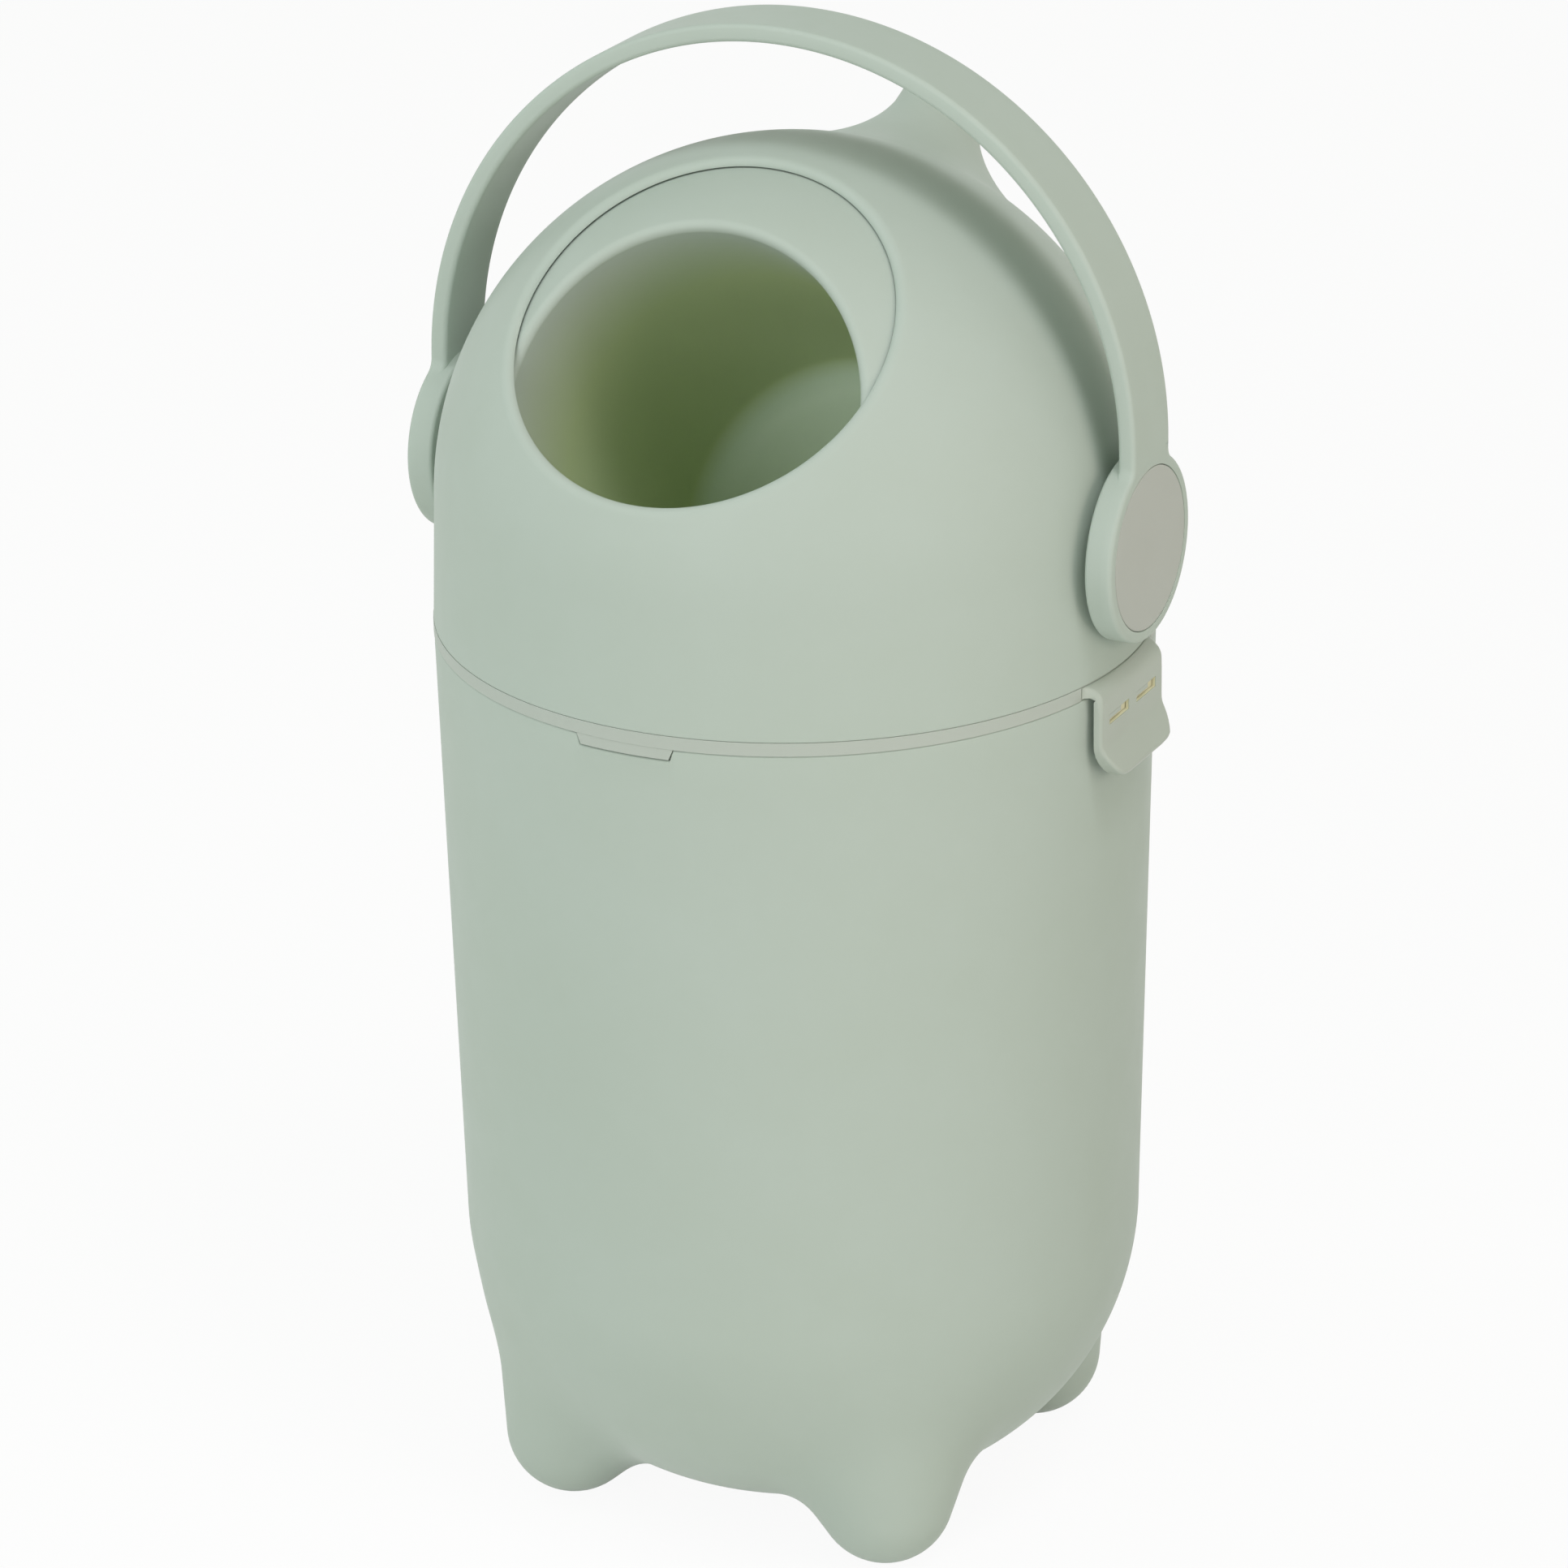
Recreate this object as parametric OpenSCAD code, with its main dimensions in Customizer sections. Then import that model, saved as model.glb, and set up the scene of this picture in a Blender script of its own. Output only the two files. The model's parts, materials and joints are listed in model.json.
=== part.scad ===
// Nappy bin: a tapered tub on four rounded feet, a domed head that hinges open at the left,
// a round drum that the handle turns to drop the nappy into the bag, and a rocker latch at the right.
// The floor is z = 0, the tub's axis is x = y = 0, and the drum's mouth faces -Y.

/* [Tub] */
// Height of the tub's rim above the floor
rim_h = 357.2; // [330:1:400]
// Wall thickness of the tub
tub_wall = 2.4; // [1.8:0.1:3.2]
// How much smaller the tub's radius is where the rounded bottom starts
tub_taper = 5.5; // [3:0.5:9]
// Height where the rounded bottom starts
bowl_start = 115.7; // [105:1:125]
// How far the rounded bottom reaches down
bowl_drop = 107.5; // [96:1:108]
// How far the rounded bottom draws in
bowl_draw = 98.2; // [92:1:105]
// Depth of the ledge that carries the bag ring, below the rim
ledge_drop = 12.2; // [10:1:16]
// How far the ledge stands into the tub
ledge_w = 2.4; // [1.6:0.2:3.2]

/* [Feet] */
// Radius of a foot's round end
foot_r = 26.8; // [24:1:29]
// Distance of a foot's centre from the tub's axis
foot_place = 96.8; // [92:1:99]
// Radius of a leg where it runs into the tub
thigh_r = 55; // [50:1:56]
// Distance of that place from the tub's axis
thigh_place = 70.6; // [68:0.5:72]
// Height of that place above the floor
thigh_h = 80; // [76:1:84]
// Radius of a foot pad
pad_r = 6; // [4:0.5:8]
// Thickness of a foot pad
pad_t = 2; // [1.6:0.2:3]
// How far a pad stands out of its foot
pad_proud = 0.8; // [0.6:0.1:1.2]
// Thickness of plastic over a pad
foot_floor = 3.2; // [2.4:0.2:5]

/* [Head] */
// Outer radius of the head at the line between dome and head ring
head_r = 138.2; // [136:0.1:143]
// How far the head ring stands out past the tub
band_over = 0.2; // [0.1:0.1:0.6]
// Height of the head ring's band
band_h = 5.4; // [5:0.2:7]
// Thickness of the head ring's band
band_t = 1.4; // [1.2:0.1:1.8]
// Thickness of the band behind the latch's shoulder
band_web = 0.8; // [0.7:0.1:1]
// Thickness of the head ring's flange
flange_t = 2.5; // [2:0.1:3]
// Wall thickness of the dome
dome_wall = 2.6; // [2:0.1:3]
// How much smaller the dome is at the drum's axis than at its lower edge
dome_draw = 1.8; // [1.2:0.2:3]
// Height of the drum's axis above the dome's lower edge
axis_rise = 46.8; // [45:1:52]
// Inner radius of the opening in the dome
opening_r = 75; // [70:1:77]
// Elevation of the opening's centre line
opening_tilt = 50.1; // [47:1:53]
// Radius of the rounded lip around the opening
lip_r = 1.9; // [1.8:0.1:2.2]
// Radius of the bearing bosses
boss_r = 22; // [20:1:26]
// Height of the screw posts inside the dome
post_h = 6.8; // [6:0.2:7]
// Distance of the ring screws from the tub's axis, measured in from the head's radius
screw_inset = 6.8; // [6.6:0.1:7.2]

/* [Horn] */
// Lean of the horn back from vertical
horn_lean = 49.2; // [46:1:54]
// Distance of the horn's tip from the dome's skin
horn_out = 44; // [42:1:48]
// Radius of the horn's neck
horn_neck = 16.4; // [14:1:20]
// Radius of the horn's foot
horn_foot = 61.8; // [56:1:66]
// Radius of the rounded edge at the horn's tip
horn_edge = 6; // [4:1:8]

/* [Drum] */
// Gap between the drum and the dome
drum_gap = 1.3; // [1.1:0.1:1.6]
// Wall thickness of the drum
drum_wall = 2.2; // [1.8:0.1:2.8]
// Elevation of the mouth's centre line at rest
mouth_tilt = 33.4; // [28:1:40]
// Radius of the cup just inside the mouth
cup_r = 69.6; // [66:1:72]
// Radius of the cup at its floor
cup_floor_r = 66; // [62:1:68]
// Depth of the cup's floor behind the drum's axis
cup_depth = 62; // [50:1:66]
// Radius of the fillet between cup wall and floor
cup_fillet = 9; // [6:1:12]
// Radius of the mouth's rounded lip
mouth_lip = 3.6; // [3:0.2:6]
// Distance of the drum's parting line behind its axis
split_back = 36; // [36:1:40]
// Depth of the flats on the drum's sides
flat_depth = 4.5; // [4:0.1:4.8]
// Distance of the drum screws in from the drum's skin at the parting line
drum_screw_inset = 7; // [6.5:0.5:8]

/* [Shaft and handle] */
// Radius of the drum's shafts
shaft_r = 11; // [9:1:12]
// Width of the square drive at a shaft's end
drive_w = 14; // [12:0.5:15]
// Length of the square drive
drive_l = 3.8; // [3:0.2:4]
// Radius of a shaft's flange
shaft_flange_r = 20; // [18:1:24]
// Thickness of a shaft's flange
shaft_flange_t = 5; // [4:0.5:6]
// Wall thickness of a bush
bush_wall = 1.95; // [1.5:0.05:2.2]
// Thickness of a bush's collar
bush_collar_t = 0.75; // [0.6:0.05:0.8]
// Radius of a bush's collar
bush_collar_r = 18; // [16:1:20]
// Radius of the handle's hubs
hub_r = 36; // [34:1:40]
// Thickness of the hubs
hub_t = 10.9; // [10.5:0.1:13]
// Radius of the rounded edge of a hub
hub_edge = 2.4; // [1.5:0.1:3]
// Radius of the caps in the hubs
cap_r = 31.4; // [28:0.5:32]
// Thickness of the caps
cap_t = 2; // [1.6:0.1:2.4]
// Width of the handle's band
handle_w = 32; // [26:1:36]
// Thickness of the handle's band
handle_t = 7; // [6:0.2:9]
// Length of the handle's straight arms above the drum's axis
handle_arm = 36.9; // [36:1:48]
// Lean of the handle back from vertical at rest
handle_lean = 1.8; // [0:0.2:4]

/* [Hinge and latch] */
// Half the width of the hinge leaf
leaf_half = 26; // [24:1:30]
// Thickness of the hinge leaf
leaf_t = 3; // [2.6:0.1:3.4]
// Depth of the hinge and latch pins below the dome's lower edge
pivot_drop = 29.7; // [28:0.5:32]
// Radius of the hinge knuckles
knuckle_r = 2.5; // [2.3:0.1:2.6]
// Radius of the hinge pin
hinge_pin_r = 1.25; // [1:0.05:1.4]
// Half the length of the tub's hinge knuckle
knuckle_half = 11.7; // [9:0.5:14]
// Half the width of the latch plate
latch_half = 28; // [27.5:0.5:30]
// Half the width of the latch's shoulder under the dome
shoulder_half = 31; // [30.5:0.5:34]
// Thickness of the latch plate
latch_t = 1.55; // [1.4:0.05:1.8]
// Thickness of the catch leaf behind the latch
catch_t = 1.4; // [1.2:0.1:1.6]
// Length of the latch below the dome's lower edge
latch_l = 39.6; // [38:0.2:43]
// Radius of the latch's lower corners
latch_corner = 16; // [13:1:18]
// How far the latch's lower lip stands out from its plate
lip_out = 6.6; // [4:0.2:6.8]
// Depth of the lip's crest below the latch pin
lip_fall = 6; // [5:0.5:7]
// Width of a latch slot
slot_w = 17.7; // [16:0.5:18]
// Height of a latch slot
slot_h = 4.2; // [4:0.2:5]
// Depth of the slots' upper edge below the dome's lower edge
slot_drop = 13.3; // [12:0.5:14]
// Radius of the latch pin
latch_pin_r = 1; // [0.8:0.1:1.1]

/* [Fits and fasteners] */
// Radial clearance of a shaft or pin that turns
run = 0.05; // [0.02:0.01:0.08]
// Clearance between pieces that are fixed together
seat = 0.1; // [0.05:0.01:0.15]
// Clearance between pieces that move past each other
free = 0.35; // [0.3:0.05:0.4]
// Radius of the small screws
screw_r = 1.5; // [1.2:0.1:1.6]
// Radius of the small screws' heads
screw_head_r = 2.9; // [2.6:0.1:3]
// Radius of the hub screws
hub_screw_r = 2.2; // [2:0.1:2.5]
// Radius of the hub washers
washer_r = 9; // [8:0.5:10]

/* [Hidden] */

// Fineness of the round shapes
$fn = 96;
eps = 0.01;
far = 400;

// Colours of the plastic and metal parts
sage = [0.70, 0.75, 0.70];
sage_grey = [0.67, 0.71, 0.67];
olive = [0.42, 0.50, 0.36];
soft_grey = [0.45, 0.47, 0.45];
steel = [0.72, 0.73, 0.75];
white_plastic = [0.90, 0.90, 0.88];

// Heights and radii that follow from the sizes above
seam_z = rim_h + band_h;
axis_z = seam_z + axis_rise;
rim_r = head_r - band_over;
bowl_top_r = rim_r - tub_taper;
bowl_flat_r = bowl_top_r - bowl_draw;
bowl_floor_z = bowl_start - bowl_drop;
taper_rate = tub_taper / (rim_h - bowl_start);
dome_r = head_r - dome_draw;
dome_in_r = dome_r - dome_wall;
drum_r = dome_in_r - drum_gap;
drum_in_r = drum_r - drum_wall;
horn_reach = dome_r + horn_out;

// Places along the drum's axis, from the drum's flat side outwards
flat_x = drum_r - flat_depth;
boss_in_x = flat_x + free;
boss_out_x = dome_r + 0.2;
hub_in_x = boss_out_x + bush_collar_t + 0.15;
hub_out_x = hub_in_x + hub_t;
cap_in_x = hub_out_x - cap_t - seat;
drive_end_x = hub_in_x + drive_l;
pocket_x = drive_end_x + 0.2;
washer_t = 1;
hub_head_t = 2.6;

// Places around the rim
bag_ring_r = tub_in_r(rim_h - ledge_drop) - 0.3;
bag_ring_in = bag_ring_r - 9;
ring_in_r = sqrt(pow(drum_r, 2) - pow(axis_rise, 2)) + 1.6;
band_in_r = head_r - band_t;
gasket_out_r = band_in_r - seat;
gasket_in_r = gasket_out_r - 1.9;
web_r = band_in_r + band_web;
shoulder_in_r = web_r + 0.15;
screw_place = head_r - screw_inset;
rim_gap = 0.1;
screw_angles = [30:60:330];

// The hinge at -X and the latch at +X turn about lines at the same height
pivot_z = seam_z - pivot_drop;
leaf_in_x = rim_r + free;
leaf_out_x = leaf_in_x + leaf_t;
hinge_x = leaf_in_x + 2.05;
knuckle_gap = 0.4;
catch_in_x = rim_r + free;
catch_out_x = catch_in_x + catch_t;
latch_in_x = catch_out_x + 0.25;
latch_out_x = latch_in_x + latch_t;
latch_x = rim_r + 0.7;
latch_top = seam_z - 8.6;
lug_r = 2.2;
lug_start = 12.3;
lug_end = 20.6;
catch_half = latch_half - 2.2;
slot_gap = 6.8;
catch_w = 10.4;
bridge_t = 1.75;

// The tab at the front of the head ring, and its notch in the rim
tab_top_half = 22;
tab_low_half = 20;
tab_drop = 4.2;
tab_gap = 0.4;

function tub_out_r(z) = rim_r - taper_rate * (rim_h - z);
function tub_in_r(z) = tub_out_r(z) - tub_wall;
function arc(cx, cy, r, a0, a1, n) =
    [for (i = [0:n]) [cx + r * cos(a0 + (a1 - a0) * i / n), cy + r * sin(a0 + (a1 - a0) * i / n)]];
// Radius of a sphere at a distance from its centre
function round_at(r, h) = sqrt(pow(r, 2) - pow(h, 2));

// Moves its children to the drum's axis, with +Z along the centre line at that elevation
module along(tilt) {
    translate([0, 0, axis_z]) rotate([90 - tilt, 0, 0]) children();
}

// Draws its children on the right, or on both sides
module right_side() {
    translate([0, 0, axis_z]) rotate([0, 90, 0]) children();
}
module left_side() {
    mirror([1, 0, 0]) right_side() children();
}

// Between two planes across X
module slab(half) {
    translate([-half, -far / 2, -far / 2]) cube([2 * half, far, far]);
}

// ---- Tub ----

// The tub's outside, or with a cut its inside
module tub_form(cut, top) {
    rotate_extrude()
        polygon(concat(
            [[0, bowl_floor_z + cut]],
            [for (t = [0:6:90]) [bowl_flat_r + (bowl_draw - cut) * sin(t),
                                 bowl_start - (bowl_drop - cut) * cos(t)]],
            [[tub_out_r(top) - cut, top], [0, top]]));
}

// A leg: a round foot that widens into the tub, or with a cut its hollow
module leg_form(cut) {
    run_in = foot_place - thigh_place;
    run_up = thigh_h - foot_r;
    leg_l = sqrt(pow(run_in, 2) + pow(run_up, 2));
    lean = atan2(run_in, run_up);
    flare = asin((thigh_r - foot_r) / leg_l);
    low_r = foot_r - cut;
    high_r = thigh_r - cut;
    translate([foot_place, 0, foot_r]) rotate([0, -lean, 0])
        rotate_extrude()
            polygon(concat(
                [for (p = arc(0, 0, low_r, -90, -flare, 10)) [max(p[0], 0), p[1]]],
                [[high_r * cos(flare), leg_l - high_r * sin(flare)], [0, leg_l - high_r * sin(flare)]]));
}

module at_feet() {
    for (a = [45:90:315]) rotate([0, 0, a]) children();
}

module tub_hollow() {
    tub_form(tub_wall, rim_h + 5);
    intersection() {
        at_feet() leg_form(tub_wall);
        translate([0, 0, pad_t + foot_floor + far / 2]) cube([far, far, far], center = true);
    }
}

// Ledge inside the rim for the bag ring
module bag_ledge() {
    top = rim_h - ledge_drop;
    rotate_extrude()
        polygon([[tub_in_r(top) - ledge_w, top], [tub_in_r(top) + tub_wall / 2, top],
                 [tub_in_r(top) + tub_wall / 2, top - 3 * ledge_w],
                 [tub_in_r(top) - 0.4, top - 3 * ledge_w], [tub_in_r(top) - ledge_w, top - 1.5]]);
}

module tab_outline(gap) {
    polygon([[-tab_top_half - gap, 1], [-tab_top_half - gap, 0], [-tab_low_half - gap, -tab_drop - gap],
             [tab_low_half + gap, -tab_drop - gap], [tab_top_half + gap, 0], [tab_top_half + gap, 1]]);
}

module tub_shell() {
    color(sage) difference() {
        union() {
            difference() {
                union() {
                    tub_form(0, rim_h);
                    at_feet() leg_form(0);
                }
                tub_hollow();
            }
            bag_ledge();
            // hinge knuckle
            translate([-hinge_x, knuckle_half, pivot_z]) rotate([90, 0, 0])
                cylinder(r = knuckle_r, h = 2 * knuckle_half);
            translate([-hinge_x, -knuckle_half, pivot_z - knuckle_r + 0.3])
                cube([hinge_x - tub_in_r(pivot_z) - tub_wall / 2, 2 * knuckle_half, 2 * knuckle_r - 0.6]);
            // latch lugs
            for (s = [-1, 1]) {
                translate([latch_x, s * (lug_start + lug_end) / 2, pivot_z]) rotate([90, 0, 0])
                    cylinder(r = lug_r, h = lug_end - lug_start, center = true);
                translate([tub_in_r(pivot_z) - tub_wall, s * (lug_start + lug_end) / 2 - (lug_end - lug_start) / 2,
                           pivot_z - lug_r + 0.3])
                    intersection() {
                        cube([latch_x - tub_in_r(pivot_z) + tub_wall, lug_end - lug_start, 2 * lug_r - 0.6]);
                        translate([-tub_in_r(pivot_z) + tub_wall,
                                   -s * (lug_start + lug_end) / 2 + (lug_end - lug_start) / 2, -5])
                            difference() {
                                cylinder(r = far / 2, h = 20);
                                translate([0, 0, -1]) cylinder(r = tub_in_r(pivot_z) + tub_wall / 2, h = 22);
                            }
                    }
            }
        }
        // holes for the hinge and latch pins
        translate([-hinge_x, far / 2, pivot_z]) rotate([90, 0, 0]) cylinder(r = hinge_pin_r + run, h = far);
        translate([latch_x, far / 2, pivot_z]) rotate([90, 0, 0]) cylinder(r = latch_pin_r + run, h = far);
        // notch for the head ring's tab
        translate([0, 0, rim_h]) rotate([90, 0, 0]) linear_extrude(far) tab_outline(tab_gap);
        // feet cut flat, with a seat for each pad
        translate([-far / 2, -far / 2, pad_proud - far]) cube([far, far, far]);
        at_feet() translate([foot_place, 0, -1]) cylinder(r = pad_r + seat, h = pad_t + 1 + seat);
    }
}

module foot_pads() {
    color(soft_grey) at_feet() translate([foot_place, 0, 0]) cylinder(r = pad_r, h = pad_t);
}

// Loose ring on the tub's ledge: the bag goes through it and folds out over it
module bag_ring() {
    low = rim_h - ledge_drop + rim_gap / 2;
    top = rim_h - 1.3;
    color(white_plastic) rotate_extrude()
        polygon([[bag_ring_in, low], [bag_ring_r, low], [bag_ring_r, top], [bag_ring_r - 2.2, top],
                 [bag_ring_r - 2.2, low + 2], [bag_ring_in, low + 2]]);
}

// ---- Hinge and latch ----

// The slope from the head's edge out to a plate below it
module shoulder(half, plate_in, plate_out, clear_z) {
    slope_x = round_at(head_r, half);
    translate([0, half, 0]) rotate([90, 0, 0])
        linear_extrude(2 * half)
            polygon([[slope_x - 4, seam_z - rim_gap - 0.2], [slope_x, seam_z - rim_gap - 0.2],
                     [plate_out, seam_z - 8.6], [plate_out, seam_z - 9.6], [plate_in, seam_z - 9.6],
                     [plate_in, clear_z], [slope_x - 4, clear_z]]);
}

// Leaf on the head ring with two knuckles around the tub's knuckle
module hinge_leaf() {
    top = seam_z - rim_gap;
    mirror([1, 0, 0]) {
        translate([leaf_in_x, -leaf_half, pivot_z]) cube([leaf_t, 2 * leaf_half, seam_z - 9 - pivot_z]);
        intersection() {
            shoulder(leaf_half, leaf_in_x, leaf_out_x, rim_h + rim_gap);
            translate([0, 0, pivot_z]) cylinder(r = far / 2, h = top - pivot_z);
        }
        for (s = [-1, 1])
            translate([hinge_x, s * (leaf_half + knuckle_half + knuckle_gap) / 2, pivot_z]) rotate([90, 0, 0])
                cylinder(r = knuckle_r, h = leaf_half - knuckle_half - knuckle_gap, center = true);
    }
}

module hinge_pin() {
    color(steel) translate([-hinge_x, leaf_half - 0.5, pivot_z]) rotate([90, 0, 0])
        cylinder(r = hinge_pin_r, h = 2 * leaf_half - 1);
}

module latch_pin() {
    color(steel) translate([latch_x, latch_half - 0.5, pivot_z]) rotate([90, 0, 0])
        cylinder(r = latch_pin_r, h = 2 * latch_half - 1);
}

module slot_row(width, height, top, depth, start) {
    for (y = [-slot_w - slot_gap / 2, slot_gap / 2])
        translate([start, y, top - height]) cube([depth, width, height]);
}

// Leaf on the head ring behind the latch, with a catch in each latch slot
module catch_leaf() {
    low = pivot_z + lug_r + 1.8;
    bridge_top = rim_h + rim_gap + bridge_t;
    translate([catch_in_x, -catch_half, low]) cube([catch_t, 2 * catch_half, bridge_top - low]);
    translate([round_at(band_in_r, catch_half) - 1, -catch_half, rim_h + rim_gap])
        cube([catch_out_x - round_at(band_in_r, catch_half) + 1, 2 * catch_half, bridge_t]);
    translate([0, 0.3, 0])
        slot_row(catch_w, 1.8, seam_z - slot_drop - 0.2, latch_out_x - catch_out_x - 0.2 + eps, catch_out_x - eps);
}

// The latch from the front: rounded below, a little wider at its shoulder
module latch_outline() {
    low = seam_z - latch_l;
    top = seam_z - rim_gap - 0.35;
    step = rim_h + rim_gap + 0.6;
    polygon(concat(
        arc(latch_half - latch_corner, low + latch_corner, latch_corner, 0, -90, 9),
        arc(-latch_half + latch_corner, low + latch_corner, latch_corner, -90, -180, 9),
        [[-latch_half, step - 1], [-shoulder_half, step], [-shoulder_half, top],
         [shoulder_half, top], [shoulder_half, step], [latch_half, step - 1]]));
}

// The latch's plate and lip from the side, its back shifted in by that much
module latch_prism(back, half, shift) {
    relief = latch_x + lug_r + 0.3;
    low = seam_z - latch_l - 1;
    translate([0, half + shift, 0]) rotate([90, 0, 0]) linear_extrude(2 * half)
        polygon([[latch_out_x, latch_top], [latch_out_x, pivot_z + 5], [latch_out_x + 0.4 * lip_out, pivot_z + 0.5],
                 [latch_out_x + lip_out, pivot_z - lip_fall], [latch_out_x + lip_out - 0.3, pivot_z - lip_fall - 1],
                 [latch_out_x + lip_out / 2, low], [latch_out_x + lip_out / 2 - 2 - back, low],
                 [latch_out_x + lip_out - 2.2 - back, pivot_z - lip_fall],
                 [relief - back, pivot_z], [relief - back, pivot_z + lug_r + 0.6],
                 [latch_in_x - back, pivot_z + lug_r + 1.4], [latch_in_x - back, latch_top]]);
}

// The latch's shoulder: it slopes in to the dome's round edge
module latch_shoulder() {
    top = seam_z - rim_gap - 0.35;
    leaf_clear = rim_h + rim_gap + bridge_t + 0.3;
    low_r = sqrt(pow(latch_out_x, 2) + pow(latch_half, 2));
    difference() {
        intersection() {
            translate([0, far / 4, 0]) rotate([90, 0, 0]) linear_extrude(far / 2)
                polygon([[latch_x - 6, latch_top - 0.5], [latch_out_x, latch_top - 0.5],
                         [latch_out_x, latch_top], [head_r - 0.1, top], [latch_x - 6, top]]);
            rotate_extrude()
                polygon([[0, latch_top - 0.5], [low_r, latch_top - 0.5], [low_r, latch_top],
                         [head_r - 0.1, top], [0, top]]);
        }
        translate([0, 0, latch_top - 1]) cylinder(r = shoulder_in_r, h = 2 * (seam_z - latch_top));
        translate([0, 0, latch_top - 1]) cylinder(r = rim_r + 0.4, h = rim_h + 0.3 - latch_top + 1);
        translate([latch_in_x - 10, -catch_half - 0.4, latch_top - 1])
            cube([10, 2 * catch_half + 0.8, leaf_clear - latch_top + 1]);
    }
}

module latch_flap() {
    lug_l = latch_half - lug_end - 1.6;
    lug_y = (latch_half + lug_end - 1) / 2;
    color(sage) difference() {
        union() {
            intersection() {
                union() {
                    latch_prism(0, latch_half + 1, 0);
                    for (s = [-1, 1]) latch_prism(1.9, 1.3, s * (latch_half - 0.3));
                    latch_shoulder();
                }
                translate([latch_x - 8, 0, 0]) rotate([90, 0, 90]) linear_extrude(20) latch_outline();
            }
            // lugs on the pin
            for (s = [-1, 1]) {
                translate([latch_x, s * lug_y, pivot_z]) rotate([90, 0, 0])
                    cylinder(r = lug_r, h = lug_l, center = true);
                translate([latch_x, s * lug_y - lug_l / 2, pivot_z - lug_r + 0.3])
                    cube([latch_out_x + 1.2 - latch_x, lug_l, 2 * lug_r - 0.6]);
            }
        }
        slot_row(slot_w, slot_h, seam_z - slot_drop, 10, latch_in_x - 5);
        translate([latch_x, far / 2, pivot_z]) rotate([90, 0, 0]) cylinder(r = latch_pin_r + run, h = far);
    }
}

// ---- Head ----

module head_ring() {
    top = seam_z - rim_gap;
    low = rim_h + rim_gap;
    color(sage) difference() {
        union() {
            difference() {
                rotate_extrude()
                    polygon([[ring_in_r, low - 1.4], [ring_in_r + 2, low - 1.4], [ring_in_r + 2, top - flange_t],
                             [band_in_r, top - flange_t], [band_in_r, low], [head_r, low], [head_r, top],
                             [ring_in_r, top]]);
                // room for the latch's shoulder
                difference() {
                    translate([0, -shoulder_half - 0.4, low - 1])
                        cube([far, 2 * shoulder_half + 0.8, band_h + 2]);
                    translate([0, 0, low - 2]) cylinder(r = web_r, h = band_h + 4);
                }
            }
            // tab at the front
            intersection() {
                translate([0, 0, low + 1]) rotate([90, 0, 0]) linear_extrude(far)
                    translate([0, -1]) tab_outline(0);
                rotate_extrude()
                    translate([band_in_r, low - 2 * tab_drop]) square([band_t - 0.1, 3 * tab_drop]);
            }
            // the leaves start inside the band, clear of the gasket
            difference() {
                union() {
                    hinge_leaf();
                    catch_leaf();
                }
                translate([0, 0, rim_h]) cylinder(r = band_in_r + 0.5, h = band_h);
            }
        }
        // room for the tub's knuckle
        translate([-leaf_out_x - 1, -knuckle_half - knuckle_gap, pivot_z - far + knuckle_r + 1.1])
            cube([leaf_t + 2, 2 * (knuckle_half + knuckle_gap), far]);
        translate([-hinge_x, far / 2, pivot_z]) rotate([90, 0, 0]) cylinder(r = hinge_pin_r + run, h = far);
        // holes for the ring screws
        for (a = screw_angles) rotate([0, 0, a])
            translate([screw_place, 0, low]) cylinder(r = screw_r + seat, h = band_h);
    }
}

module ring_gasket() {
    color(soft_grey) rotate_extrude()
        translate([gasket_in_r, rim_h + rim_gap / 2])
            square([gasket_out_r - gasket_in_r, band_h - flange_t - rim_gap - seat]);
}

module ring_screws() {
    seat_z = seam_z - rim_gap - flange_t - 0.05;
    color(steel) for (a = screw_angles) rotate([0, 0, a]) translate([screw_place, 0, 0]) {
        translate([0, 0, seat_z]) cylinder(r = screw_r, h = flange_t + post_h - 1.2);
        translate([0, 0, seat_z - 1.8]) cylinder(r = screw_head_r, h = 1.8 + eps);
    }
}

// Outline of the dome from its lower edge to its top, at that distance inside the surface
function dome_side(cut) = concat(
    [for (t = [0:0.25:0.75]) [dome_r - cut + dome_draw * (1 - t), seam_z + axis_rise * t]],
    [for (p = arc(0, axis_z, dome_r - cut, 0, 90, 24)) [max(p[0], 0), p[1]]]);

// Outline of the horn along its own axis, at that distance inside the surface
function horn_side(cut) = concat(
    [[0, horn_base() - 1]], [[horn_foot - cut, horn_base() - 1]],
    [for (u = [0:0.1:0.9]) [horn_neck - cut + (horn_foot - horn_neck) * pow(1 - u, 1.75),
                             horn_base() + u * (horn_reach - horn_edge - horn_base())]],
    arc(horn_neck - horn_edge, horn_reach - horn_edge, horn_edge - cut, 0, 90, 5),
    [[0, horn_reach - cut]]);
function horn_base() = dome_r - 15;

module horn_form(cut) {
    along(90 + horn_lean) rotate_extrude() polygon(horn_side(cut));
}

module dome_form() {
    rotate_extrude() polygon(concat([[0, seam_z]], dome_side(0)));
}

// Boss for the bush, and a thicker round of wall behind the flat landing for the hub
module bearing_boss() {
    translate([0, 0, boss_in_x]) cylinder(r = boss_r, h = boss_out_x - boss_in_x);
}
module landing_wall() {
    translate([0, 0, boss_out_x - dome_wall]) cylinder(r = hub_r + 2.5, h = 10);
}
module landing() {
    translate([0, 0, boss_out_x]) cylinder(r = hub_r + 0.8, h = 20);
    cylinder(r = shaft_r + bush_wall + seat / 2, h = far);
}

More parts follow.
